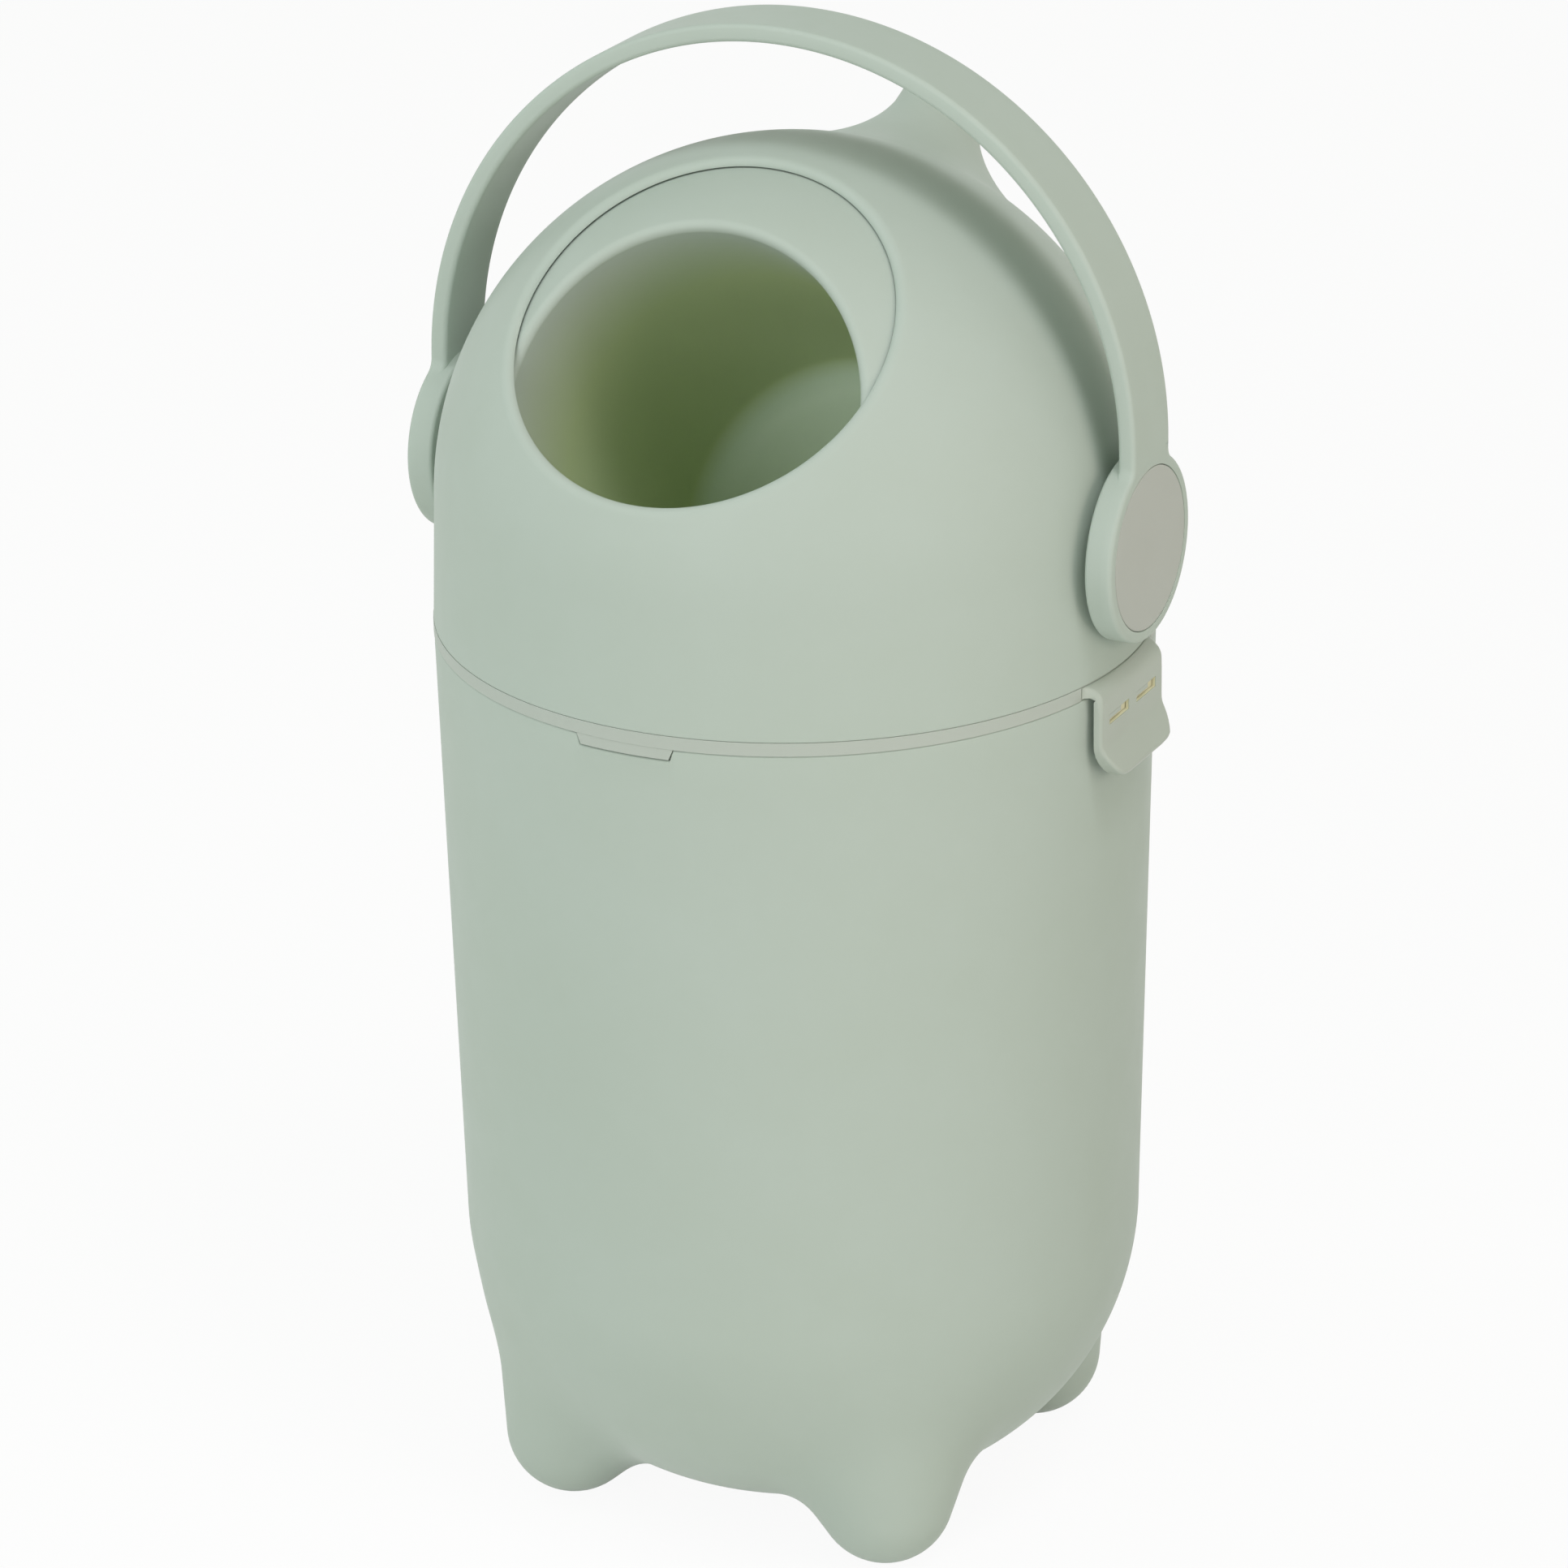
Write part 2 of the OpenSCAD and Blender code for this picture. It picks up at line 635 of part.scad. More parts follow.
module dome_shell() {
    color(sage) difference() {
        union() {
            difference() {
                union() {
                    dome_form();
                    horn_form(0);
                }
                rotate_extrude() polygon(concat([[0, seam_z - 1]], [[head_r - dome_wall, seam_z - 1]],
                                                dome_side(dome_wall)));
                horn_form(dome_wall);
                along(opening_tilt) cylinder(r = opening_r + lip_r, h = far);
            }
            // rounded lip of the opening
            along(opening_tilt) rotate_extrude()
                translate([opening_r + lip_r, round_at((dome_r + dome_in_r) / 2, opening_r + lip_r)])
                    circle(r = lip_r, $fn = 32);
            right_side() bearing_boss();
            left_side() bearing_boss();
            intersection() {
                dome_form();
                union() {
                    right_side() landing_wall();
                    left_side() landing_wall();
                }
            }
            // posts for the ring screws
            for (a = screw_angles) rotate([0, 0, a]) translate([screw_place, 0, seam_z]) {
                cylinder(r = 4.2, h = post_h);
                translate([0, -2, 0]) cube([head_r - dome_wall / 2 - screw_place - 1, 4, post_h]);
            }
        }
        right_side() landing();
        left_side() landing();
        for (a = screw_angles) rotate([0, 0, a])
            translate([screw_place, 0, seam_z - 1]) cylinder(r = screw_r + seat / 2, h = post_h);
    }
}

// Soft ring inside the dome around the opening, which wipes the drum
module opening_seal() {
    inner = opening_r + 2 * lip_r + 0.5;
    skin = dome_in_r - seat;
    rub = drum_r + 0.35;
    color(soft_grey) along(opening_tilt) rotate_extrude()
        polygon([for (i = [0, 1, 2]) [(inner + i * 2.5), round_at(skin, inner + i * 2.5)],
                 for (i = [2, 1, 0]) [(inner + i * 2.5), round_at(rub, inner + i * 2.5)]]);
}

// Flanged bush: its collar lies between the dome's boss and the hub
module bush() {
    difference() {
        union() {
            translate([0, 0, boss_in_x]) cylinder(r = shaft_r + bush_wall, h = boss_out_x - boss_in_x + 0.1);
            translate([0, 0, boss_out_x + 0.02]) cylinder(r = bush_collar_r, h = bush_collar_t);
        }
        cylinder(r = shaft_r + run, h = far);
    }
}
module bush_right() {
    color(white_plastic) right_side() bush();
}
module bush_left() {
    color(white_plastic) left_side() bush();
}

// ---- Drum ----

lip_turn = asin((cup_r + mouth_lip) / (drum_r - mouth_lip));
lip_s = (drum_r - mouth_lip) * cos(lip_turn);
drum_screw_place = round_at(drum_r, split_back) - drum_screw_inset;
floor_turn_r = cup_floor_r - cup_fillet;
floor_turn_s = cup_fillet - cup_depth;

// Section of the lip, the cup's wall and its floor. It ends inside the round skin's wall.
module cup_section() {
    turn = lip_turn + 3;
    mid_r = (drum_r + drum_in_r) / 2;
    polygon(concat(
        arc(cup_r + mouth_lip, lip_s, mouth_lip, 180, 90 - lip_turn, 10),
        [[mid_r * sin(turn), mid_r * cos(turn)]],
        arc(cup_r + mouth_lip, lip_s, mouth_lip - drum_wall, 90 - lip_turn, 180, 10),
        arc(floor_turn_r, floor_turn_s, cup_fillet + drum_wall, 0, -90, 8),
        [[0, -cup_depth - drum_wall], [0, -cup_depth]],
        arc(floor_turn_r, floor_turn_s, cup_fillet, -90, 0, 8)));
}

module drum_posts(low, high, radius) {
    for (a = [45:90:315]) rotate([0, 0, a])
        translate([drum_screw_place, 0, low]) rotate([0, 0, 180]) cylinder(r = radius, h = high - low);
}

// The round skin of the front half, cut at the lip, with flat sides
module front_skin() {
    intersection() {
        difference() {
            sphere(r = drum_r);
            sphere(r = drum_in_r);
            cylinder(r1 = 0, r2 = far * tan(lip_turn), h = far);
        }
        slab(flat_x);
    }
}
module flat_disc() {
    low_r = (round_at(drum_r, flat_x - drum_wall) + round_at(drum_in_r, flat_x - drum_wall)) / 2;
    top_r = (round_at(drum_r, flat_x) + round_at(drum_in_r, flat_x)) / 2;
    translate([0, 0, flat_x - drum_wall]) cylinder(r1 = low_r, r2 = top_r, h = drum_wall);
}

module drum_front_shell() {
    color(sage) along(mouth_tilt) difference() {
        union() {
            difference() {
                union() {
                    front_skin();
                    right_hole() flat_disc();
                    left_hole() flat_disc();
                }
                translate([0, 0, -split_back - far]) cylinder(r = far / 2, h = far);
            }
            rotate_extrude() cup_section();
            intersection() {
                drum_posts(-split_back + 0.2, -split_back + 13, 5.6);
                sphere(r = drum_r - 1);
            }
        }
        drum_posts(-split_back - 1, -split_back + 10, screw_r + seat / 2);
        right_hole() translate([0, 0, flat_x - 10]) cylinder(r = shaft_r + run, h = 20);
        left_hole() translate([0, 0, flat_x - 10]) cylinder(r = shaft_r + run, h = 20);
        right_hole() shaft_screw_ring() head_hole();
        left_hole() shaft_screw_ring() head_hole();
    }
}

// The shaft line, seen from the drum's own frame
module right_hole() {
    rotate([0, 90, 0]) children();
}
module left_hole() {
    mirror([1, 0, 0]) right_hole() children();
}
module shaft_screw_ring() {
    for (a = [90, 210, 330]) rotate([0, 0, a]) translate([(shaft_r + shaft_flange_r) / 2, 0, 0]) children();
}
module head_hole() {
    translate([0, 0, flat_x - drum_wall - 1]) cylinder(r = screw_r + seat, h = 10);
    translate([0, 0, flat_x - 1.2]) cylinder(r = screw_head_r + seat, h = 3);
}

module drum_rear_shell() {
    color(sage) along(mouth_tilt) difference() {
        union() {
            difference() {
                sphere(r = drum_r);
                sphere(r = drum_in_r);
                translate([0, 0, -split_back - seat]) cylinder(r = far / 2, h = far);
            }
            intersection() {
                drum_posts(-drum_r, -split_back - seat, 5.6);
                sphere(r = drum_r - 0.2);
            }
        }
        drum_posts(-drum_r, -split_back + 1, screw_r + seat);
        drum_posts(-drum_r, -split_back - 6, screw_head_r + seat);
    }
}

module drum_screws() {
    head_top = -split_back - 6;
    color(steel) along(mouth_tilt) {
        drum_posts(head_top - eps, -split_back + 8, screw_r);
        drum_posts(head_top - 2, head_top - 0.05, screw_head_r);
    }
}

// ---- Shafts ----

module drive(extra, start, end) {
    w = drive_w + 2 * extra;
    translate([-w / 2, -w / 2, start]) cube([w, w, end - start]);
}

// Flange inside the drum, journal through the drum and the bush, square drive in the hub
module shaft() {
    flange_x = flat_x - drum_wall - 0.05;
    difference() {
        union() {
            translate([0, 0, flange_x - shaft_flange_t]) cylinder(r = shaft_flange_r, h = shaft_flange_t);
            translate([0, 0, flange_x - 1]) cylinder(r = shaft_r, h = hub_in_x - 0.1 - flange_x + 1);
            drive(0, hub_in_x - 1, drive_end_x);
        }
        translate([0, 0, drive_end_x - 16]) cylinder(r = hub_screw_r + seat / 2, h = 20);
        shaft_screw_ring() translate([0, 0, flange_x - 20]) cylinder(r = screw_r + seat / 2, h = 30);
    }
}
module shaft_right() {
    color(white_plastic) right_side() rotate([0, 0, 90 - mouth_tilt]) shaft();
}
module shaft_left() {
    color(white_plastic) left_side() rotate([0, 0, 90 - mouth_tilt]) shaft();
}

module shaft_screw() {
    translate([0, 0, flat_x - drum_wall - shaft_flange_t + 0.5])
        cylinder(r = screw_r, h = drum_wall + shaft_flange_t - 1);
    translate([0, 0, flat_x - 1.15]) cylinder(r = screw_head_r, h = 1.1);
}
module shaft_screws() {
    color(steel) {
        right_side() rotate([0, 0, 90 - mouth_tilt]) shaft_screw_ring() shaft_screw();
        left_side() rotate([0, 0, 90 - mouth_tilt]) shaft_screw_ring() shaft_screw();
    }
}

// ---- Handle ----

// Cross-section of the handle's band, lying along X with its outer face at that place
module band_section() {
    edge = 1.6;
    polygon(concat(
        arc(hub_out_x - edge, handle_w / 2 - edge, edge, 0, 90, 4),
        arc(hub_out_x - handle_t + edge, handle_w / 2 - edge, edge, 90, 180, 4),
        arc(hub_out_x - handle_t + edge, -handle_w / 2 + edge, edge, 180, 270, 4),
        arc(hub_out_x - edge, -handle_w / 2 + edge, edge, 270, 360, 4)));
}

module hub() {
    difference() {
        rotate_extrude()
            polygon(concat([[0, hub_in_x], [hub_r - 1, hub_in_x], [hub_r, hub_in_x + 1]],
                arc(hub_r - hub_edge, hub_out_x - hub_edge, hub_edge, 0, 90, 5), [[0, hub_out_x]]));
        translate([0, 0, cap_in_x - 0.1]) cylinder(r = cap_r + 0.25, h = far);
        translate([0, 0, pocket_x]) cylinder(r = washer_r + 1, h = far);
    }
}

module handle_arch() {
    color(sage) translate([0, 0, axis_z]) rotate([-handle_lean, 0, 0]) difference() {
        union() {
            translate([0, 0, handle_arm]) rotate([90, 0, 0])
                rotate_extrude(angle = 180) band_section();
            for (s = [0, 1]) mirror([s, 0, 0]) {
                difference() {
                    linear_extrude(handle_arm) band_section();
                    rotate([0, 90, 0]) cylinder(r = hub_r - 2, h = far);
                }
                rotate([0, 90, 0]) hub();
            }
        }
        for (s = [0, 1]) mirror([s, 0, 0]) rotate([handle_lean, 0, 0]) rotate([0, 90, 0])
            rotate([0, 0, 90 - mouth_tilt]) drive(run, 0, hub_in_x + drive_l + 1);
    }
}

module hub_washer() {
    difference() {
        translate([0, 0, pocket_x + 0.05]) cylinder(r = washer_r, h = washer_t);
        cylinder(r = hub_screw_r + 0.2, h = far);
    }
}
module hub_washers() {
    color(steel) {
        right_side() hub_washer();
        left_side() hub_washer();
    }
}

module hub_screw() {
    head_x = pocket_x + 0.1 + washer_t;
    translate([0, 0, drive_end_x - 14]) cylinder(r = hub_screw_r, h = head_x - drive_end_x + 14 + eps);
    translate([0, 0, head_x]) cylinder(r = 2 * hub_screw_r, h = min(hub_head_t, cap_in_x - head_x - 0.2));
}
module hub_screws() {
    color(steel) {
        right_side() hub_screw();
        left_side() hub_screw();
    }
}

module hub_cap() {
    translate([0, 0, cap_in_x]) cylinder(r = cap_r, h = cap_t);
}
module hub_cap_right() {
    color(sage_grey) right_side() hub_cap();
}
module hub_cap_left() {
    color(sage_grey) left_side() hub_cap();
}

tub_shell();
foot_pads();
bag_ring();
hinge_pin();
latch_pin();
dome_shell();
head_ring();
ring_gasket();
ring_screws();
opening_seal();
bush_left();
bush_right();
drum_front_shell();
drum_rear_shell();
drum_screws();
shaft_left();
shaft_right();
shaft_screws();
handle_arch();
hub_washers();
hub_screws();
hub_cap_left();
hub_cap_right();
latch_flap();
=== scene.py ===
import json
import math
import bmesh
import bpy
import numpy as np
from mathutils import Matrix, Vector


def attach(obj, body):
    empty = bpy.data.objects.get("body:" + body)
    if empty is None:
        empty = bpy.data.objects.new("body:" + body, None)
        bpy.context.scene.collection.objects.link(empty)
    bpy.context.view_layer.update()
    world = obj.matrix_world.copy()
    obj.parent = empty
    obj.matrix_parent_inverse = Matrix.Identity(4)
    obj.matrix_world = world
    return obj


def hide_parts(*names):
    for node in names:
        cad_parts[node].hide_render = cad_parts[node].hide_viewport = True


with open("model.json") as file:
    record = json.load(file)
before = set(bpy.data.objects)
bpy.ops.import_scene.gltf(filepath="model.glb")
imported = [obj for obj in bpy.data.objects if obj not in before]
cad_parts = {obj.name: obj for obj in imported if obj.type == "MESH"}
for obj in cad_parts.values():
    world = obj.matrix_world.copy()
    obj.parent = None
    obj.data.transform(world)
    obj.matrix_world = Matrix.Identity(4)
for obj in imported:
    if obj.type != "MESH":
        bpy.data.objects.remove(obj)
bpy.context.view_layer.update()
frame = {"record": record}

mm = 0.001
pi = math.pi
weldWithin, sliverUnder = 2e-7, 1e-8  # metres

# Heights and radii that several pieces share, in millimetres
build = {
    "rimZ": 357.2, "seamZ": 362.6, "axisZ": 409.4, "pivotZ": 332.9,
    "domeR": 136.4, "domeWall": 2.6, "drumR": 132.5, "drumWall": 2.2, "flatX": 128.0,
    "cupTilt": 33.4, "hingeX": -140.4, "latchX": 138.7,
}


# Meshes from arrays

def unit(v):
    return v / np.linalg.norm(v, axis=-1, keepdims=True)


def smoothMax(a, b, k):
    # larger of a and b, plus a rounding of k/4 where they are equal
    h = np.clip(k - np.abs(a - b), 0, None) / k
    return np.maximum(a, b) + h * h * k / 4


def gridFaces(rows, cols, wrapRows=False):
    # quads (i, j), (i, j+1), (i+1, j+1), (i+1, j) of a grid of points, closed along each row
    i, j = np.meshgrid(np.arange(rows if wrapRows else rows - 1), np.arange(cols), indexing="ij")
    i2, j2 = (i + 1) % rows, (j + 1) % cols
    return np.stack([i * cols + j, i * cols + j2, i2 * cols + j2, i2 * cols + j], -1).reshape(-1, 4).tolist()


def joinParts(parts):
    # several (points, faces) lists as one
    points, faces, start = [], [], 0
    for p, f in parts:
        points.append(p.reshape(-1, 3))
        faces += [[v + start for v in face] for face in f]
        start += len(points[-1])
    return np.concatenate(points), faces


def makePiece(name, parts, body, stands, finish, sharp=38):
    # one closed mesh of the parts, with its faces outward
    points, faces = joinParts(parts)
    mesh = bpy.data.meshes.new(name)
    mesh.from_pydata((points * mm).tolist(), [], faces)
    bm = bmesh.new()
    bm.from_mesh(mesh)
    bmesh.ops.remove_doubles(bm, verts=bm.verts, dist=weldWithin)
    bmesh.ops.dissolve_degenerate(bm, edges=bm.edges, dist=sliverUnder)
    bmesh.ops.recalc_face_normals(bm, faces=bm.faces)
    bm.to_mesh(mesh)
    bm.free()
    return settle(name, mesh, body, stands, finish, sharp)


def settle(name, mesh, body, stands, finish, sharp):
    # the piece of a mesh, its edges sharp from an angle in degrees, on its body and in place of its nodes
    mesh.shade_smooth()
    mesh.set_sharp_from_angle(angle=math.radians(sharp))
    piece = bpy.data.objects.new(name, mesh)
    bpy.context.scene.collection.objects.link(piece)
    mesh.materials.append(finish)
    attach(piece, body)
    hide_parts(*stands)
    return piece


def turned(profile, angles):
    # a line of (radius, height) turned round Z: (r cos a, r sin a, h)
    profile = np.asarray(profile, float)
    r, h = profile[:, 0][:, None], profile[:, 1][:, None]
    points = np.stack([r * np.cos(angles), r * np.sin(angles), h + 0 * angles], -1)
    return points, gridFaces(len(profile), len(angles))


def arcLine(cx, cy, r, a0, a1, n):
    # n+1 points (cx + r cos a, cy + r sin a), a from a0 to a1 degrees
    a = np.radians(np.linspace(a0, a1, n + 1))
    return np.stack([cx + r * np.cos(a), cy + r * np.sin(a)], -1)


def line(*points):
    return np.array(points, float)


fullTurn = np.radians(np.arange(0, 360, 2.5))


def turnedOn(matrix, points):
    # points carried by a 3x4 placing
    m = np.array(matrix)
    return points @ m[:, :3].T + m[:, 3]


def lugPart(pinX, radius, toX, start, end):
    # a knuckle round a pin: half a cylinder and a block from there to toX, between two Y values
    first = 90 if toX > pinX else -90
    arc = arcLine(pinX, build["pivotZ"], radius, first, first + 180, 14)
    outline = np.concatenate([arc, line((toX, arc[-1, 1]), (toX, arc[0, 1]))])
    middle = outline.mean(0) + 0 * outline
    loops = [(middle, start), (outline, start), (outline, end), (middle, end)]
    points = np.array([np.column_stack([o[:, 0], np.full(len(o), y), o[:, 1]]) for o, y in loops])
    return points, gridFaces(*points.shape[:2])


# Materials

class Wire:
    # one socket, with the maths that is used on it
    def __init__(self, recipe, socket):
        self.recipe, self.socket = recipe, socket

    def maths(self, operation, *others):
        values = {i: v for i, v in enumerate((self,) + others)}
        return self.recipe.node("ShaderNodeMath", {"operation": operation}, values)

    def __add__(self, other):
        return self.maths("ADD", other)

    def __mul__(self, other):
        return self.maths("MULTIPLY", other)

    def __sub__(self, other):
        return self.maths("SUBTRACT", other)

    def __rsub__(self, other):
        return self.recipe.node("ShaderNodeMath", {"operation": "SUBTRACT"}, {0: other, 1: self})

    def __truediv__(self, other):
        return self.maths("DIVIDE", other)

    __radd__ = __add__
    __rmul__ = __mul__

    def clamped(self):
        return self.recipe.node("ShaderNodeClamp", {}, {"Value": self})


class Recipe:
    # the node tree of a material or the world, and the one way to put a node in it
    def __init__(self, owner):
        owner.use_nodes = True
        self.owner, self.tree = owner, owner.node_tree

    def node(self, kind, settings, values, out=0):
        made = self.tree.nodes.new(kind)
        for key, value in settings.items():
            setattr(made, key, value)
        for key, value in values.items():
            self.feed(made.inputs[key], value)
        return Wire(self, made.outputs[out])

    def feed(self, socket, value):
        if isinstance(value, Wire):
            self.tree.links.new(value.socket, socket)
        else:
            socket.default_value = value

    def place(self):
        return self.node("ShaderNodeTexCoord", {}, {}, "Object")

    def split(self, vector):
        first = self.node("ShaderNodeSeparateXYZ", {}, {0: vector})
        return [Wire(self, out) for out in first.socket.node.outputs]

    def noise(self, where, scale, detail=2.0, roughness=0.5):
        return self.node("ShaderNodeTexNoise", {}, {"Vector": where, "Scale": scale, "Detail": detail,
                                                    "Roughness": roughness}, "Fac")

    def blendColour(self, factor, a, b):
        return self.node("ShaderNodeMix", {"data_type": "RGBA"}, {0: factor, 6: a, 7: b}, 2)

    def background(self):
        # 1 where the camera, a mirror or glass looks, 0 where light is gathered
        path = self.node("ShaderNodeLightPath", {}, {}).socket.node.outputs
        seen = Wire(self, path["Is Camera Ray"]).maths("MAXIMUM", Wire(self, path["Is Glossy Ray"]))
        return seen.maths("MAXIMUM", Wire(self, path["Is Transmission Ray"]))


def newFinish(name):
    # a fresh material's recipe and the sockets of its shader
    r = Recipe(bpy.data.materials.new(name))
    return r, r.tree.nodes["Principled BSDF"].inputs


def shade(r, g, b):
    # a screen colour of 0 to 255 as a linear colour
    c = np.array([r, g, b]) / 255
    return tuple(np.where(c <= 0.04045, c / 12.92, ((c + 0.055) / 1.055) ** 2.4)) + (1.0,)


plasticFinish = {
    # each noise: scale, detail, roughness
    "cloud": (9.0, 3.0, 0.55), "cloudShare": 1.6, "drift": (55.0, 4.0, 0.6), "driftShare": 0.5,
    "grain": (1500, 3.0, 0.6), "grainShare": 0.6, "pebble": (375, 2.0, 0.5), "pebbleShare": 0.4,
    "grainDepth": 0.00002, "bump": 0.25, "roughness": 0.47, "spread": 0.14, "sheen": 0.12,
}


def mouldedPlastic(name, tone, other, shadePainter=None, roughness=plasticFinish["roughness"],
                   sheen=plasticFinish["sheen"]):
    # matte moulded plastic: cloudy tone and a fine spark-eroded grain, and painted shade where a shade painter is
    # given
    r, shader = newFinish(name)
    where = r.place()
    cloud = r.noise(where, *plasticFinish["cloud"])
    drift = r.noise(where, *plasticFinish["drift"])
    tint = (cloud - 0.5) * plasticFinish["cloudShare"] + (drift - 0.5) * plasticFinish["driftShare"]
    colour = r.blendColour((tint + 0.5).clamped(), tone, other)
    if shadePainter:
        colour = shadePainter(r, where, colour)
    r.feed(shader["Base Color"], colour)
    r.feed(shader["Roughness"], (drift - 0.5) * plasticFinish["spread"] + roughness)
    grain = r.noise(where, *plasticFinish["grain"]) * plasticFinish["grainShare"]
    pebble = r.noise(where, *plasticFinish["pebble"]) * plasticFinish["pebbleShare"]
    r.feed(shader["Normal"], r.node("ShaderNodeBump", {}, {
        "Strength": plasticFinish["bump"], "Distance": plasticFinish["grainDepth"], "Height": grain + pebble}))
    shader["Specular IOR Level"].default_value = sheen
    return r.owner


# Painted shade inside the drum's cup: distances in metres from the drum's centre, across the cup's axis and along it
# towards the mouth, and the painted colours of its walls and floor
cupShadeTone = {
    "edge": 0.0735, "edgeSoft": 0.003, "mouth": 0.104, "mouthSoft": 0.05, "floor": -0.0585, "floorSoft": 0.008,
    "shadedWallColour": shade(194, 208, 163), "litFloorColour": shade(203, 220, 196),
}


def cupPaintedShade(r, where, colour):
    # painted shade: the cup's walls are painted greener with depth, and its floor lighter and cooler than its walls,
    # for how light falls in the cup
    x, y, z = r.split(where)
    tilt = math.radians(build["cupTilt"])
    height = z - build["axisZ"] * mm
    along = y * -math.cos(tilt) + height * math.sin(tilt)
    lift = y * math.sin(tilt) + height * math.cos(tilt)
    across = (x * x + lift * lift).maths("SQRT")
    inside = ((cupShadeTone["edge"] - across) / cupShadeTone["edgeSoft"]).clamped()
    depth = ((cupShadeTone["mouth"] - along) / cupShadeTone["mouthSoft"]).clamped()
    wall = ((along - cupShadeTone["floor"]) / cupShadeTone["floorSoft"]).clamped()
    shadeColour = r.blendColour(wall, cupShadeTone["litFloorColour"], cupShadeTone["shadedWallColour"])
    return r.blendColour(inside * depth, colour, shadeColour)


# The box in metres that holds the latch's slots, mirrored in Y, and the warm colour painted in it as the slots'
# light and shade
slotShadeTone = {
    "x": (0.138, 0.1412), "y": (0.0031, 0.0214), "z": (0.3449, 0.3495), "sharp": 40000,
    "colour": shade(228, 226, 198),
}


def slotPaintedShade(r, where, colour):
    # painted light and shade: the walls of the latch's slots and the leaf behind them are painted a warmer tone than
    # the plate's face, for how light falls in the recess
    def between(value, low, high):
        return ((value - low) * slotShadeTone["sharp"]).clamped() * ((high - value) * slotShadeTone["sharp"]).clamped()

    x, y, z = r.split(where)
    slotShadeMask = between(y.maths("ABSOLUTE"), *slotShadeTone["y"]) * between(z, *slotShadeTone["z"]) * between(x, *slotShadeTone["x"])
    return r.blendColour(slotShadeMask, colour, slotShadeTone["colour"])


rubberFinish = {"cloud": (60.0, 4.0), "dark": 0.8, "roughness": 0.72, "spread": 0.15}


def softRubber(name, tone):
    # matte rubber, darker in clouds
    r, shader = newFinish(name)
    cloud = r.noise(r.place(), *rubberFinish["cloud"])
    dark = tuple(rubberFinish["dark"] * c for c in tone[:3]) + (1.0,)
    r.feed(shader["Base Color"], r.blendColour(cloud, tone, dark))
    r.feed(shader["Roughness"], (cloud - 0.5) * rubberFinish["spread"] + rubberFinish["roughness"])
    return r.owner


steelFinish = {
    "cloud": (220.0, 4.0), "tone": (0.62, 0.63, 0.66, 1), "other": (0.5, 0.51, 0.54, 1),
    "roughness": 0.22, "spread": 0.2,
}


def zincSteel(name):
    # zinc plated steel in a cloudy grey
    r, shader = newFinish(name)
    cloud = r.noise(r.place(), *steelFinish["cloud"])
    r.feed(shader["Base Color"], r.blendColour(cloud, steelFinish["tone"], steelFinish["other"]))
    r.feed(shader["Roughness"], cloud * steelFinish["spread"] + steelFinish["roughness"])
    shader["Metallic"].default_value = 1.0
    return r.owner


sage = shade(187, 199, 189)
sageShade = shade(183, 195, 183)
finishes = {
    "tub": mouldedPlastic("tubSage", sage, sageShade),
    "head": mouldedPlastic("headSage", sage, sageShade, slotPaintedShade),
    "drum": mouldedPlastic("drumSage", sage, sageShade, cupPaintedShade),
    "handle": mouldedPlastic("handleSage", sage, sageShade, roughness=0.43),
    "ring": mouldedPlastic("ringSage", shade(188, 196, 187), shade(184, 192, 182), slotPaintedShade),
    # the latch's sage is painted a little darker and warmer than the dome's: painted shade for how the latch is lit
    "latch": mouldedPlastic("latchSagePaintedShade", shade(182, 191, 179), shade(178, 187, 174), slotPaintedShade, 0.34, 0.3),
    "cap": mouldedPlastic("capSage", shade(190, 194, 187), shade(187, 191, 183), roughness=0.5),
    "white": mouldedPlastic("whitePlastic", shade(228, 228, 224), shade(222, 222, 217), roughness=0.4),
    "rubber": softRubber("sealRubber", shade(140, 146, 140)),
    "steel": zincSteel("zincSteel"),
}
print("materials made")


# Tub with its feet

tub = {
    "wall": 2.4, "rimR": 138.0, "bowlTopR": 132.5, "bowlStart": 115.7, "bowlDrop": 107.5, "bowlFlat": 34.3,
    "footR": 26.8, "footOut": 96.8, "thighR": 55.0, "thighOut": 70.6, "thighZ": 80.0, "blend": 10.0,
    "footCut": 0.8, "innerFloor": 5.2, "rimEdge": 1.0,
    "notchFrom": -22.4, "notchTo": 18.6, "notchSlope": 2.0, "notchDepth": 4.6,
    # rows of bowl and wall, outside and inside; close steps beside the tab: from, to, count
    "outerRows": (110, 26), "innerRows": (48, 12), "tabSteps": (-1.5, 4, 16),
    # the rays that look for the surface: how far out they start, steps, share of the way in each
    "rayStart": 190.0, "raySteps": 90, "rayShare": 0.9,
    # each lug: pin's X, radius, X of the tub's wall, and from where to where in Y
    "lugs": [(build["latchX"], 2.2, 136.0, 12.3, 20.6), (build["latchX"], 2.2, 136.0, -20.6, -12.3),
             (build["hingeX"], 2.5, -136.2, -11.7, 11.7)],
}


def tabStep(angle, radius):
    # how far the rim drops for the front tab, eased out over the slope on both sides
    x = radius * np.cos(angle)
    t = np.clip(np.minimum(x - tub["notchFrom"], tub["notchTo"] - x) / tub["notchSlope"], 0, 1)
    return np.where(np.sin(angle) < 0, tub["notchDepth"] * t * t * (3 - 2 * t), 0)


def tabAngles(radius):
    # even steps round the bin, with close ones at the sides of the tab
    near = np.linspace(*tub["tabSteps"])
    x = np.concatenate([tub["notchFrom"] + near, tub["notchTo"] - near])
    return np.unique(np.concatenate([np.radians(np.arange(0, 360, 1.0)), 1.5 * pi + np.arcsin(x / radius)]).round(6))


